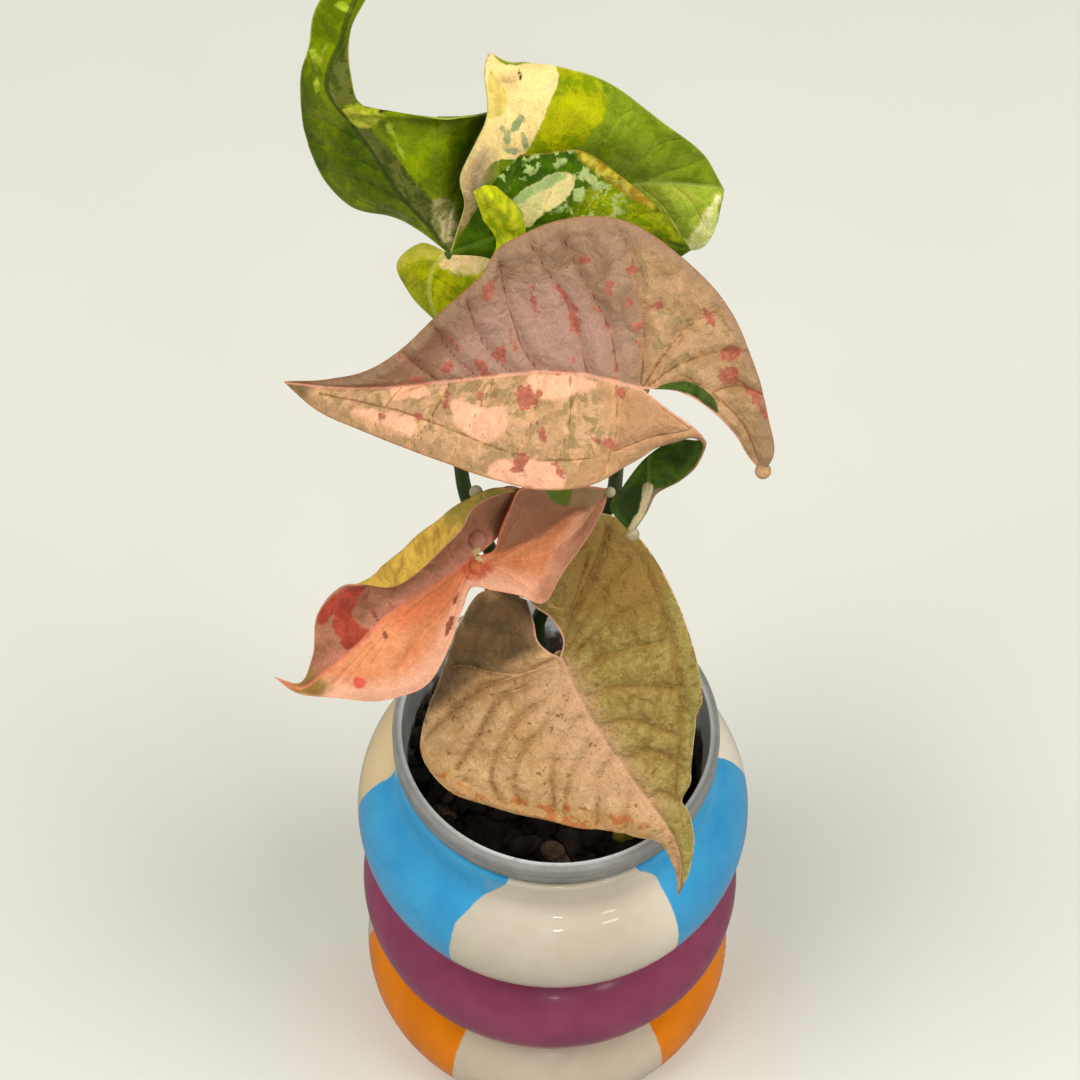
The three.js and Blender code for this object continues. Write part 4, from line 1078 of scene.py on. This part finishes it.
def ear_finish():
    finish = new_finish("green leaf rolled ear", Specular_IOR_Level=0.2)
    streak = noise(300.0, 3.0, stretched((1.6, 0.4, 1.0), (0, 0, 0.3)))
    colour = layer((214, 218, 24), (160, 178, 8), rise(streak, 0.4, 0.62))
    leaf_surface(rim_line(colour, (90, 110, 20), 1.2, 0.7), 0.36, 0.3)
    return finish


# ---- Leaves ---------------------------------------------------------------

def blade_net(form, half, across, per_row):
    """Net over half a blade: rows from the midrib out to the margin"""
    midrib, (sinus, *lines) = form["midrib"][0], form[half]
    lines = [midrib[:1] + line + [(sinus or midrib)[-1]] for line in lines]
    rib = sight(midrib)
    junction = len(rib) - 1
    rows = len(lines[-1]) - 1
    place = np.linspace(0, rows, rows * per_row + 1)
    inner = curve(rib, np.minimum(place, junction))
    past = place > junction
    if past.any():
        inner[past] = curve(sight(midrib[-1:] + sinus), place[past] - junction)
    columns = np.stack([inner] + [curve(sight(line), place) for line in lines])
    return curve(columns, np.linspace(0, len(lines), across + 1))


def upward(net):
    """Normals of a net, turned so that most of it faces the eye"""
    down, along_rows = np.gradient(net, axis=0), np.gradient(net, axis=1)
    normal = np.cross(down, along_rows)
    facing = (normal * (EYE - net)).sum()
    length = np.linalg.norm(normal, axis=-1, keepdims=True)
    normal = np.where(length > 1e-6, normal / np.maximum(length, 1e-6), 0)
    return normal * np.sign(facing), facing > 0


def nudged(net, nudges):
    """A net pushed about in the picture round given places, its heights kept"""
    for column, row, reach, right, down in nudges:
        places, _ = picture(net.reshape(-1, 3))
        away = places - (column, row)
        share = np.exp(-(away ** 2).sum(1) / reach ** 2)[:, None]
        moved = places + share * (right, down)
        net = sight(np.concatenate([moved, net.reshape(-1, 3)[:, 2:3]], 1)).reshape(net.shape)
    return net


def half_blade(net, form, veins=(), quilt=0.0, ripple=0.0, **fixed):
    """A sheet over half a blade, quilted between its veins and rippled"""
    net = nudged(net, form.get("nudges", [[]])[0])
    shape = net.shape[:2]
    steps = np.linalg.norm(np.diff(net, axis=0), axis=-1)
    from_rib = np.vstack([np.zeros(net.shape[1]), np.cumsum(steps, axis=0)])
    from_edge = from_rib[-1] - from_rib
    places, scale = picture(net.reshape(-1, 3))
    from_vein = (to_veins(places, veins) * scale).reshape(shape) if veins else from_rib + FAR_OFF
    normal, facing = upward(net)
    pillow = quilt * (1 - np.exp(-(from_vein / QUILT_REACH) ** 2))
    pillow *= ease(from_rib, 0, 2.5) * ease(from_edge, -0.5, 3)
    x, y, z = net[..., 0], net[..., 1], net[..., 2]
    wave = (np.sin(0.21 * x + 0.13 * z + 0.4) * np.sin(0.17 * y - 0.11 * x + 1.9)
            + 0.5 * np.sin(0.47 * y + 0.39 * x + 0.7))
    lift = pillow + ripple * wave * ease(from_rib, 0, 8)
    marks = {"rib": np.minimum(from_rib, FAR_OFF), "edge": np.minimum(from_edge, FAR_OFF),
             "vein": np.minimum(from_vein, FAR_OFF), "run": 0.0, **fixed}
    for name, values in marks_of(form, places, scale).items():
        marks[name] = values.reshape(shape)
    piece = sheet(net + normal * lift[..., None], marks)
    if facing:
        piece.data.flip_normals()
    return piece


def thickened(piece, *finishes):
    """Gives a sheet its thickness, with the second finish on its underside"""
    finish_with(piece, *finishes)
    apply_modifier(piece, "SOLIDIFY", thickness=BLADE_THICKNESS * MM, offset=0, material_offset=1)
    return piece


def blade(form, swells, density, fixed, *finishes):
    """A blade from its far and its near half, each with its quilting and
    rippling in millimetres and its fixed marks"""
    sheets = []
    for half, swell, marks in zip(("far", "near"), swells, fixed):
        veins = form.get(half + " veins") or form["veins"]
        sheets.append(half_blade(blade_net(form, half, *density), form, veins, *swell, **marks))
    return thickened(join(sheets, BLADE_WELD), *finishes)


def stalk(line, finish, foot=None):
    """A stalk from under its blade to its foot beside or on top of the stem"""
    stem = STEM_TOP - STEM_FOOT
    up = stem / np.linalg.norm(stem)
    low, away = STEM_TOP + up * GAP, np.zeros(3)
    if foot:
        share, side = foot
        angle = math.radians(side)
        away = np.array([math.cos(angle), math.sin(angle), 0])
        low = STEM_FOOT + stem * share + away * (STEM_RADIUS + STALK_BASE_RADIUS + GAP)
    above = low + up * STALK_BASE_RADIUS * 4 + away * GAP
    path = smooth_line(np.vstack([sight(line), above, low]), STALK_STEPS)
    radii = np.linspace(STALK_TOP_RADIUS, STALK_BASE_RADIUS, len(path))
    run = {"run": np.linspace(0, 1, len(path))}
    piece = bar(path, radii, STALK_SIDES, run, ROUND_END, STALK_UPRIGHT)
    finish_with(piece, finish)
    return piece


def knob(place, finish, form, far):
    """A small swelling where veins meet or a lobe ends"""
    *sighting, radius = place
    piece = added(bpy.ops.mesh.primitive_uv_sphere_add, segments=24, ring_count=14,
                  radius=radius * MM, location=Vector(sight(sighting) * MM))
    place_in_mesh(piece)
    marks = {"rib": FAR_OFF, "edge": FAR_OFF, "vein": FAR_OFF, "far": far,
             **marks_of(form, *picture(points_of(piece)))}
    for name, values in marks.items():
        keep_mark(piece, name, values)
    finish_with(piece, finish)
    return piece


def grown_leaf(name, skins, swells, density, stalk_colours, knob_halves):
    """A leaf of one blade with its stalk and knobs: a knob on the far half
    counts 1, one on the near half 0, and a pale lobe end None"""
    form = LEAVES[name]
    upper, under = skins
    whole = blade(form, swells, density, ({"far": 1.0}, {"far": 0.0}), upper, under)
    stem = stalk(form["stalk"][0], stalk_finish(name + " leaf stalk", *stalk_colours),
                 STALK_FEET[name])
    pale = pale_end_finish() if None in knob_halves else None
    lumps = [knob(place, pale, {}, 0.0) if half is None else knob(place, upper, form, half)
             for place, half in zip(form["knobs"][0], knob_halves)]
    hand_over(join([whole, stem] + lumps), name + "_leaf", LEAF_ANGLE)


def rolled_ear(under):
    """The lobe that stays rolled up beside the hub"""
    lines = [curve(sight(line), np.linspace(0, 4, 65)) for line in LEAVES["green"]["roll"]]
    net = curve(np.stack(lines), np.linspace(0, 2, 25))
    return thickened(half_blade(net, {}), ear_finish(), under)


def green_leaf():
    """The green leaf: four lobes and a rolled ear on one stalk"""
    under = plain_under("green", 0.3, (122, 140, 60), (104, 124, 50), (160, 172, 96))
    unmarked = {"speckled": -FAR_OFF, "nick": -FAR_OFF}
    parts = [
        blade(LEAVES[lobe], [(0.5, 0.3)] * 2, density, [unmarked] * 2,
              green_upper(*skin_ways), under)
        for lobe, density, *skin_ways in GREEN_LOBES]
    parts.append(rolled_ear(under))
    parts.append(stalk(LEAVES["green"]["stalk"][0],
                       stalk_finish("green leaf stalk", (70, 88, 26), (30, 46, 12))))
    hand_over(join(parts), "green_leaf", LEAF_ANGLE)


# ---- Pot, cup, mix and stem -----------------------------------------------

def ring_arc(ring, middle, start, end, steps):
    """Radius and height along a ring's arc, between two angles"""
    return [(ring["radius"] - ring["bulge"] * (1 - math.cos(angle)),
             middle + ring["half_height"] * math.sin(angle))
            for angle in np.linspace(start, end, steps + 1)]


def arc_angle(ring, radius):
    return math.acos(1 - (ring["radius"] - radius) / ring["bulge"])


def cup_radius(height):
    share = (height - CUP_FOOT) / (CUP_TOP - CUP_RIM_HEIGHT - CUP_FOOT)
    return CUP_FOOT_RADIUS + (CUP_NECK_RADIUS - CUP_FOOT_RADIUS) * min(share, 1)


def pot_profile():
    """The pot's profile, from the middle of its foot round to its floor"""
    low = BOTTOM_RING["half_height"]
    mid = 2 * low + MIDDLE_RING["half_height"]
    high = mid + MIDDLE_RING["half_height"] + TOP_RING["half_height"]
    mouth = cup_radius(POT_LIP) + GAP
    low_angle, mid_angle, top_angle = (
        arc_angle(ring, GROOVE_RADIUS) for ring in (BOTTOM_RING, MIDDLE_RING, TOP_RING))
    neck_angle = arc_angle(TOP_RING, mouth + POT_WALL + 1)
    floor_angle = math.asin((POT_FLOOR - low) / BOTTOM_RING["half_height"])
    outside = (ring_arc(BOTTOM_RING, low, -math.pi / 2, low_angle, OUTSIDE_STEPS)
               + ring_arc(MIDDLE_RING, mid, -mid_angle, mid_angle, OUTSIDE_STEPS)
               + ring_arc(TOP_RING, high, -top_angle, arc_angle(TOP_RING, SHOULDER_RADIUS),
                          OUTSIDE_STEPS))
    shoulder = np.array(outside[-1])
    bend, foot = np.array((COLLAR_RADIUS, COLLAR_BEND)), np.array((COLLAR_RADIUS, COLLAR_FOOT))
    collar = [
        tuple(shoulder * (1 - share) ** 2 + bend * 2 * share * (1 - share) + foot * share ** 2)
        for share in np.linspace(0.1, 1, 10)]
    collar += [(COLLAR_RADIUS, COLLAR_FOOT + 3), (COLLAR_RADIUS, COLLAR_FOOT + 6)]
    outer, top = COLLAR_RADIUS - LIP_ROUND, POT_LIP - LIP_ROUND
    lip = [(outer + LIP_ROUND * math.cos(angle), top + LIP_ROUND * math.sin(angle))
           for angle in np.linspace(0, math.pi / 2, 7)]
    lip += [(mouth, POT_LIP - LIP_ROUND / 4), (mouth, COLLAR_FOOT), (mouth, COLLAR_BEND)]
    inside = (ring_arc(TOP_RING, high, neck_angle, -top_angle, INSIDE_STEPS)
              + ring_arc(MIDDLE_RING, mid, mid_angle, -mid_angle, INSIDE_STEPS)
              + ring_arc(BOTTOM_RING, low, low_angle, floor_angle, FLOOR_STEPS))
    return ([(0, 0), (FOOT_FLAT, 0)] + outside + collar + lip
            + [(radius - POT_WALL, height) for radius, height in inside] + [(0, POT_FLOOR)])


def pale_distance(angle, height):
    """Distance in millimetres inside the pale sectors of the glaze"""
    best = np.full(angle.shape, -60.0)
    for start, end, left, left_from, left_to, right, right_from, right_to in PALE_SECTORS:
        first = start + left * ease(height, left_from, left_to)
        last = end - right * ease(height, right_from, right_to)
        for turn in (0, 360):
            best = np.maximum(best, np.minimum(angle + turn - first, last - angle - turn))
    return np.radians(best) * GLAZE_RADIUS


def pot_glaze():
    """Glossy glaze in fields of colour, a little uneven in each"""
    finish = new_finish("pot glaze", Coat_Roughness=0.05, Specular_IOR_Level=0.2)
    level = along("Z") + (noise(90.0) - 0.5) * 0.0012
    cloud = mottle(45.0, 0.5, 0.25)
    pale = patch("pale", 0.3, 0.25, 160.0)
    blue = layer((48, 146, 200), (64, 164, 212), cloud)
    plum = layer((143, 66, 94), (127, 55, 83), cloud)
    orange = layer((226, 128, 0), (206, 112, 0), cloud)
    white = layer((201, 187, 166), (189, 173, 150), cloud)
    # Pale glaze creamier at the left; greyer at the front and whiter towards the right, partly its
    # own colour and partly painted shade and light
    cream = coats(
        layer((226, 204, 158), (218, 192, 142), cloud),
        (layer((204, 194, 176), (194, 182, 160), cloud), rise(along("Y"), -0.03, 0.0, 1.0, 0.0)),
        ((234, 224, 202), rise(along("X"), 0.02, 0.055)))
    specks = rise(cells(900.0), 0.05, 0.12, 1.0, 0.0) * mottle(300.0, 0.6, 0.05)
    to_shader(
        Base_Color=coats(
            layer(orange, white, pale),
            (plum, rise(level, *ORANGE_TO_PLUM)),
            (layer(blue, cream, pale), rise(level, *PLUM_TO_BLUE)),
            # Painted shade in the grooves, along with the glaze that pools there
            ((0.5, 0.46, 0.44, 1), mark("pooled") * 0.7, "MULTIPLY"),
            ((0.6, 0.55, 0.5, 1), specks * 0.4, "MULTIPLY")),
        Coat_Weight=rise(level, *PLUM_TO_BLUE, 0.06, 0.5),
        Roughness=rise(noise(120.0), 0.3, 0.7, 0.2, 0.32))
    bump(noise(60.0) * 0.4 + noise(700.0) * 0.02, 0.6)
    return finish


def bare_clay():
    """Unglazed clay of the pot's foot"""
    finish = new_finish("bare clay foot")
    to_shader(Base_Color=layer(mottled((206, 186, 160), (182, 160, 134), 240.0, 0.5, 0.15),
                               (140, 116, 92), mottle(900.0, 0.64, 0.04)),
              Roughness=rise(noise(400.0), 0.3, 0.7, 0.75, 0.95))
    bump(noise(900.0, 4.0) * 0.12)
    return finish


def glazed_pot():
    piece = turned(pot_profile(), POT_STEPS)
    x, y, height = points_of(piece).T
    # Grooves: pooled glaze and painted shade
    pooled = 1 - ease(np.hypot(x, y), GROOVE_RADIUS + 0.3, GROOVE_RADIUS + 4)
    keep_mark(piece, "pale", pale_distance(np.degrees(np.arctan2(y, x)), height))
    keep_mark(piece, "pooled", pooled * ((height > POOLED_SHADE_FROM) & (height < POOLED_SHADE_TO)))
    finish_with(piece, pot_glaze(), bare_clay())
    for face in piece.data.polygons:
        face.material_index = int(face.center.z < BARE_CLAY_HEIGHT * MM)
    hand_over(piece, "glazed_pot", TURNED_ANGLE)


def cup_plastic():
    """Thin grey plastic, scuffed and dusty, and stained inside by the mix, with painted shade on
    the lower part of its rim band
    """
    finish = new_finish("cup plastic", Specular_IOR_Level=0.4)
    outside = mark("outside")
    outer = mottled((150, 148, 143), (134, 134, 132), 90.0, 0.5, 0.15)
    rubbed = rise(noise(160.0, 3.0, stretched((1.0, 1.0, 0.25))), 0.4, 0.6)
    stained = rise(along("Z") + (noise(120.0, 3.0) - 0.5) * 0.016, 0.1485, 0.152, 1.0, 0.0)
    inner = layer(mottled((224, 228, 227), (204, 208, 207), 60.0, 0.5, 0.3),
                  layer((66, 56, 50), (96, 86, 80), rubbed), stained)
    # Painted shade on the outside of the rim band, darker towards its lower edge under the rim
    band = rise(along("Z"), 0.1595, 0.1655, 1.0, 0.0)
    scuff = noise(300.0, 3.0, stretched((0.4, 0.4, 3.0)))
    to_shader(
        Base_Color=coats(
            layer(inner, outer, outside),
            ((0.66, 0.66, 0.68, 1), band * outside, "MULTIPLY"),
            ((150, 144, 134), mottle(500.0, 0.6, 0.06) * 0.5),
            ((1.15, 1.15, 1.15, 1), rise(scuff, 0.55, 0.75, 0.0, 0.6), "MULTIPLY")),
        Roughness=rise(noise(300.0), 0.3, 0.7, 0.3, 0.5))
    bump(scuff * 0.05)
    return finish


def cup_profile():
    """The cup's profile, from the middle of its foot round to its floor"""
    neck = CUP_TOP - CUP_RIM_HEIGHT
    inside = CUP_NECK_RADIUS - CUP_WALL
    outer = CUP_RIM_RADIUS - CUP_RIM_ROUND
    quarter = [(math.cos(angle), math.sin(angle)) for angle in np.linspace(0, math.pi / 2, 5)]
    return (
        [(0, CUP_FOOT), (CUP_FOOT_RADIUS - 1, CUP_FOOT), (CUP_FOOT_RADIUS, CUP_FOOT + 0.8)]
        + [(cup_radius(height), height) for height in np.linspace(CUP_FOOT + 4, neck, CUP_ROWS)]
        + [(outer + CUP_RIM_ROUND * sine, neck + CUP_RIM_ROUND * (1 - cosine))
           for cosine, sine in quarter]
        + [(CUP_RIM_RADIUS, neck + 3.6), (CUP_RIM_RADIUS - 0.25, neck + 4),
           (CUP_RIM_RADIUS, neck + 4.4)]
        + [(outer + CUP_RIM_ROUND * cosine, CUP_TOP - CUP_RIM_ROUND * (1 - sine))
           for cosine, sine in quarter]
        + [(inside + 0.5, CUP_TOP - 0.1), (inside + 0.15, CUP_TOP - 0.4), (inside, CUP_TOP - 1),
           (inside, neck)]
        + [(cup_radius(height) - CUP_WALL, height)
           for height in np.linspace(neck - 4, CUP_FOOT + CUP_WALL, CUP_ROWS)]
        + [(0, CUP_FOOT + CUP_WALL)])


def nursery_cup():
    piece = turned(cup_profile(), CUP_STEPS)
    drills = []
    for hole in range(DRAIN_HOLES):
        angle = 2 * math.pi * hole / DRAIN_HOLES
        place = (DRAIN_CIRCLE * math.cos(angle) * MM, DRAIN_CIRCLE * math.sin(angle) * MM,
                 (CUP_FOOT + CUP_WALL / 2) * MM)
        drills.append(added(bpy.ops.mesh.primitive_cylinder_add, vertices=32,
                            radius=DRAIN_RADIUS * MM, depth=3 * CUP_WALL * MM, location=place))
    drill = join(drills)
    place_in_mesh(drill)
    apply_modifier(piece, "BOOLEAN", operation="DIFFERENCE", object=drill, solver="EXACT")
    bpy.data.objects.remove(drill)
    x, y, height = points_of(piece).T
    wall = np.array([cup_radius(level) - CUP_WALL / 2 for level in height])
    keep_mark(piece, "outside", np.hypot(x, y) > wall)
    finish_with(piece, cup_plastic())
    hand_over(piece, "nursery_cup", TURNED_ANGLE)


def mix_surface(radius, angle):
    return (MIX_LEVEL + 1.1 * np.sin(0.31 * radius * np.cos(angle) + 1.2)
            + 0.9 * np.sin(0.37 * radius * np.sin(angle) + 0.4)
            + 0.6 * np.sin(0.9 * radius + 5 * angle))


def bark_finish():
    """Bark chips and peat, from near black to beige"""
    finish = new_finish("bark mix")
    grain = noise(500.0, 5.0, stretched((1.0, 0.35, 1.0), (0, 0, 0.6)), 0.65)
    fibre = rise(grain, 0.4, 0.65)
    tone = mark("tone")
    to_shader(
        Base_Color=coats(
            layer((10, 6, 4), (24, 17, 12), fibre),
            (layer((24, 17, 12), (46, 33, 23), fibre), rise(tone, 0.7, 0.9)),
            (layer((56, 42, 30), (92, 72, 50), fibre), rise(tone, 0.965, 0.985)),
            ((120, 104, 30), rise(tone, 1.5, 1.9))),
        Roughness=rise(grain, 0.3, 0.7, 0.7, 0.95))
    bump(grain * 0.7 + noise(1600.0, 3.0) * 0.2)
    return finish


def mix_body(top):
    """The mix as one lumpy block that fills the cup"""
    bottom = CUP_FOOT + CUP_WALL + GAP
    bottom_radius = cup_radius(bottom) - CUP_WALL - GAP - 0.4
    angle = np.linspace(0, 2 * math.pi, 181)
    radius, turn = np.meshgrid(np.linspace(0, top, 61), angle, indexing="ij")
    x, y = radius * np.cos(turn), radius * np.sin(turn)
    lumps = (0.9 * np.sin(0.9 * x + 0.3 * y) * np.sin(0.8 * y - 0.2 * x)
             + 0.5 * np.sin(2.1 * x) * np.sin(1.9 * y))
    height = mix_surface(radius, turn) - 0.8 + lumps - 2.6 * ease(radius, top - 2.5, top)
    side = [np.stack([reach * np.cos(angle), reach * np.sin(angle),
                      np.full(angle.shape, bottom)], -1) for reach in (bottom_radius, 0.0)]
    net = np.concatenate([np.stack([x, y, height], -1), np.stack(side)])
    body = join([sheet(net, {"tone": 0.25})], WELD)
    turn_outward(body)
    return body


def chip_models(rng):
    """A few chips of bark, rough and angular, for copying"""
    models = []
    for _ in range(CHIP_MODELS):
        chip = added(bpy.ops.mesh.primitive_ico_sphere_add, subdivisions=2, radius=1)
        for _ in range(CHIP_CUTS):
            facing = Vector([rng.gauss(0, 1) for _ in range(3)]).normalized()
            in_edit_mode(chip, bpy.ops.mesh.bisect, plane_co=facing * rng.uniform(0.55, 0.8),
                         plane_no=facing, use_fill=True, clear_outer=True)
        models.append(chip)
    return models


def chip_copy(model, at, tilt, spread, tone):
    """A copy of a chip, set down at its size and with its tone"""
    chip = model.copy()
    chip.data = model.data.copy()
    bpy.context.collection.objects.link(chip)
    chip.matrix_world = (Matrix.Translation(at * MM) @ tilt @ Matrix.Diagonal((*spread, 1))
                         @ Matrix.Scale(MM, 4))
    keep_mark(chip, "tone", tone)
    return chip


def bark_mix():
    rng = random.Random(CHIP_SEED)
    top = cup_radius(MIX_LEVEL - 4) - CUP_WALL - GAP - 0.2
    body = mix_body(top)
    models = chip_models(rng)
    chips = []
    for _ in range(BARK_CHIPS):
        model = rng.choice(models)
        distance = (top - 5.5) * math.sqrt(rng.random())
        turn = rng.uniform(0, 2 * math.pi)
        size = rng.uniform(*(SMALL_CHIPS if rng.random() < SMALL_SHARE else LARGE_CHIPS))
        x, y = distance * math.cos(turn), distance * math.sin(turn)
        if math.hypot(x - STEM_FOOT[0], y - STEM_FOOT[1]) < STEM_SURROUND:
            size = min(size, SMALL_CHIPS[0])
        lift = float(mix_surface(distance, turn)) + rng.uniform(-1.2, 1.6)
        tilt = (Matrix.Rotation(rng.uniform(0, 2 * math.pi), 4, "Z")
                @ Matrix.Rotation(rng.uniform(-CHIP_LEAN, CHIP_LEAN), 4, "X")
                @ Matrix.Rotation(rng.uniform(-CHIP_LEAN, CHIP_LEAN), 4, "Y"))
        spread = size, size * rng.uniform(0.45, 0.9), size * rng.uniform(0.25, 0.6)
        chips.append(chip_copy(model, Vector((x, y, lift)), tilt, spread, rng.random()))
    for *place, size, squash, tone in LOOSE_CHIPS:
        chips.append(chip_copy(
            models[int(size) % len(models)], Vector(sight(place)), Matrix.Rotation(0.4, 4, "Y"),
            (size, size * squash, size * 0.6), tone))
    for model in models:
        bpy.data.objects.remove(model)
    piece = join([body] + chips)
    place_in_mesh(piece)
    finish_with(piece, bark_finish())
    hand_over(piece, "bark_mix", MIX_ANGLE)


def main_stem():
    """The short green stem, with a ring at each node"""
    finish = new_finish("stem skin", Coat_Weight=0.05)
    leaf_surface(layer(mottled((70, 104, 44), (88, 118, 54), 160.0, 0.5, 0.15),
                       (150, 140, 84), rise(mark("node"), 0.3, 0.9, 0.0, 0.8)), 0.45)
    share = np.linspace(0, 1, STEM_ROWS)
    node_rings = np.cos(2 * np.pi * STEM_NODES * share) ** 8
    radii = STEM_RADIUS + (STEM_TOP_RADIUS - STEM_RADIUS) * share + STEM_NODE * node_rings - 0.05
    path = STEM_FOOT + (STEM_TOP - STEM_FOOT) * share[:, None]
    marks = {"node": node_rings, "vein": np.full(STEM_ROWS, FAR_OFF),
             "run": np.zeros(STEM_ROWS)}
    piece = bar(path, radii, STEM_SIDES, marks, FLAT_END, (0.0, 1.0, 0.0))
    finish_with(piece, finish)
    hand_over(piece, "main_stem", LEAF_ANGLE)


# ---- Room, light and camera -----------------------------------------------

# Lamps: power, size, place, height that it is aimed at, tint, and whether the
# glaze mirrors it
LAMPS = {
    "key light": (44, 1.5, (-1.25, -0.55, 2.35), 0.15, (1.0, 0.975, 0.94), False),
    "fill light": (38, 1.6, (1.45, -0.35, 2.1), 0.15, (1.0, 0.98, 0.95), False),
    "left glint": (1.3, 0.11, (0.1, -1.36, 0.93), 0.12, (1.0, 0.99, 0.96), True),
    "right glint": (1.1, 0.17, (0.68, -1.1, 1.02), 0.12, (1.0, 0.95, 0.8), True),
}


def floor():
    """Plain pale floor"""
    piece = added(bpy.ops.mesh.primitive_plane_add, size=9.0)
    piece.name = piece.data.name = "studio_floor"
    finish = new_finish("pale floor", Roughness=0.7, Specular_IOR_Level=0.2)
    to_shader(Base_Color=layer((228, 229, 220), (222, 223, 213), noise(8.0, 3.0)))
    bump(noise(900.0) * 0.03)
    finish_with(piece, finish)
    piece.visible_glossy = False


def lights():
    for name, (power, size, place, aim, tint, mirrored) in LAMPS.items():
        lamp = added(bpy.ops.object.light_add, type="AREA", location=place)
        lamp.name = name
        lamp.data.energy = power
        lamp.data.size = size
        lamp.data.color = tint
        lamp.visible_glossy = mirrored
        way = Vector((0, 0, aim)) - Vector(place)
        lamp.rotation_euler = way.to_track_quat("-Z", "Y").to_euler()
    world = bpy.context.scene.world or bpy.data.worlds.new("soft room light")
    bpy.context.scene.world = world
    world.use_nodes = True
    sky = world.node_tree.nodes["Background"]
    sky.inputs["Color"].default_value = (1.0, 0.985, 0.96, 1)
    sky.inputs["Strength"].default_value = 0.26


def camera():
    eye = added(bpy.ops.object.camera_add, location=Vector(EYE) * MM)
    eye.name = "picture camera"
    eye.rotation_euler = (Matrix.Rotation(math.pi / 2 - PITCH, 4, "X")
                          @ Matrix.Rotation(ROLL, 4, "Z")).to_euler()
    eye.data.sensor_width = SENSOR_WIDTH
    eye.data.sensor_fit = "HORIZONTAL"
    eye.data.lens = SENSOR_WIDTH * FOCAL_LENGTH / PICTURE_WIDTH
    bpy.context.scene.camera = eye


camera()
lights()
floor()
bpy.context.scene.view_settings.view_transform = "Standard"

glazed_pot()
nursery_cup()
bark_mix()
main_stem()
green_leaf()
grown_leaf("pink", (pink_upper(), pink_under()), ((1.3, 0.55), (0.8, 0.45)), (44, 15),
           ((80, 88, 34), (36, 54, 18)), (1.0, None, 1.0))
grown_leaf("curled", (curled_upper(), curled_under()), ((0.5, 0.3), (0.8, 0.4)), (48, 16),
           ((140, 108, 56), (44, 66, 22)), (None, None, 1.0, 0.0))
grown_leaf("olive", (olive_upper(), plain_under(
    "olive", 0.25, (136, 128, 62), (114, 104, 48), (186, 172, 108))),
           ((1.3, 0.4), (1.9, 0.4)), (48, 15), ((110, 104, 50), (44, 66, 22)), (0.0,))
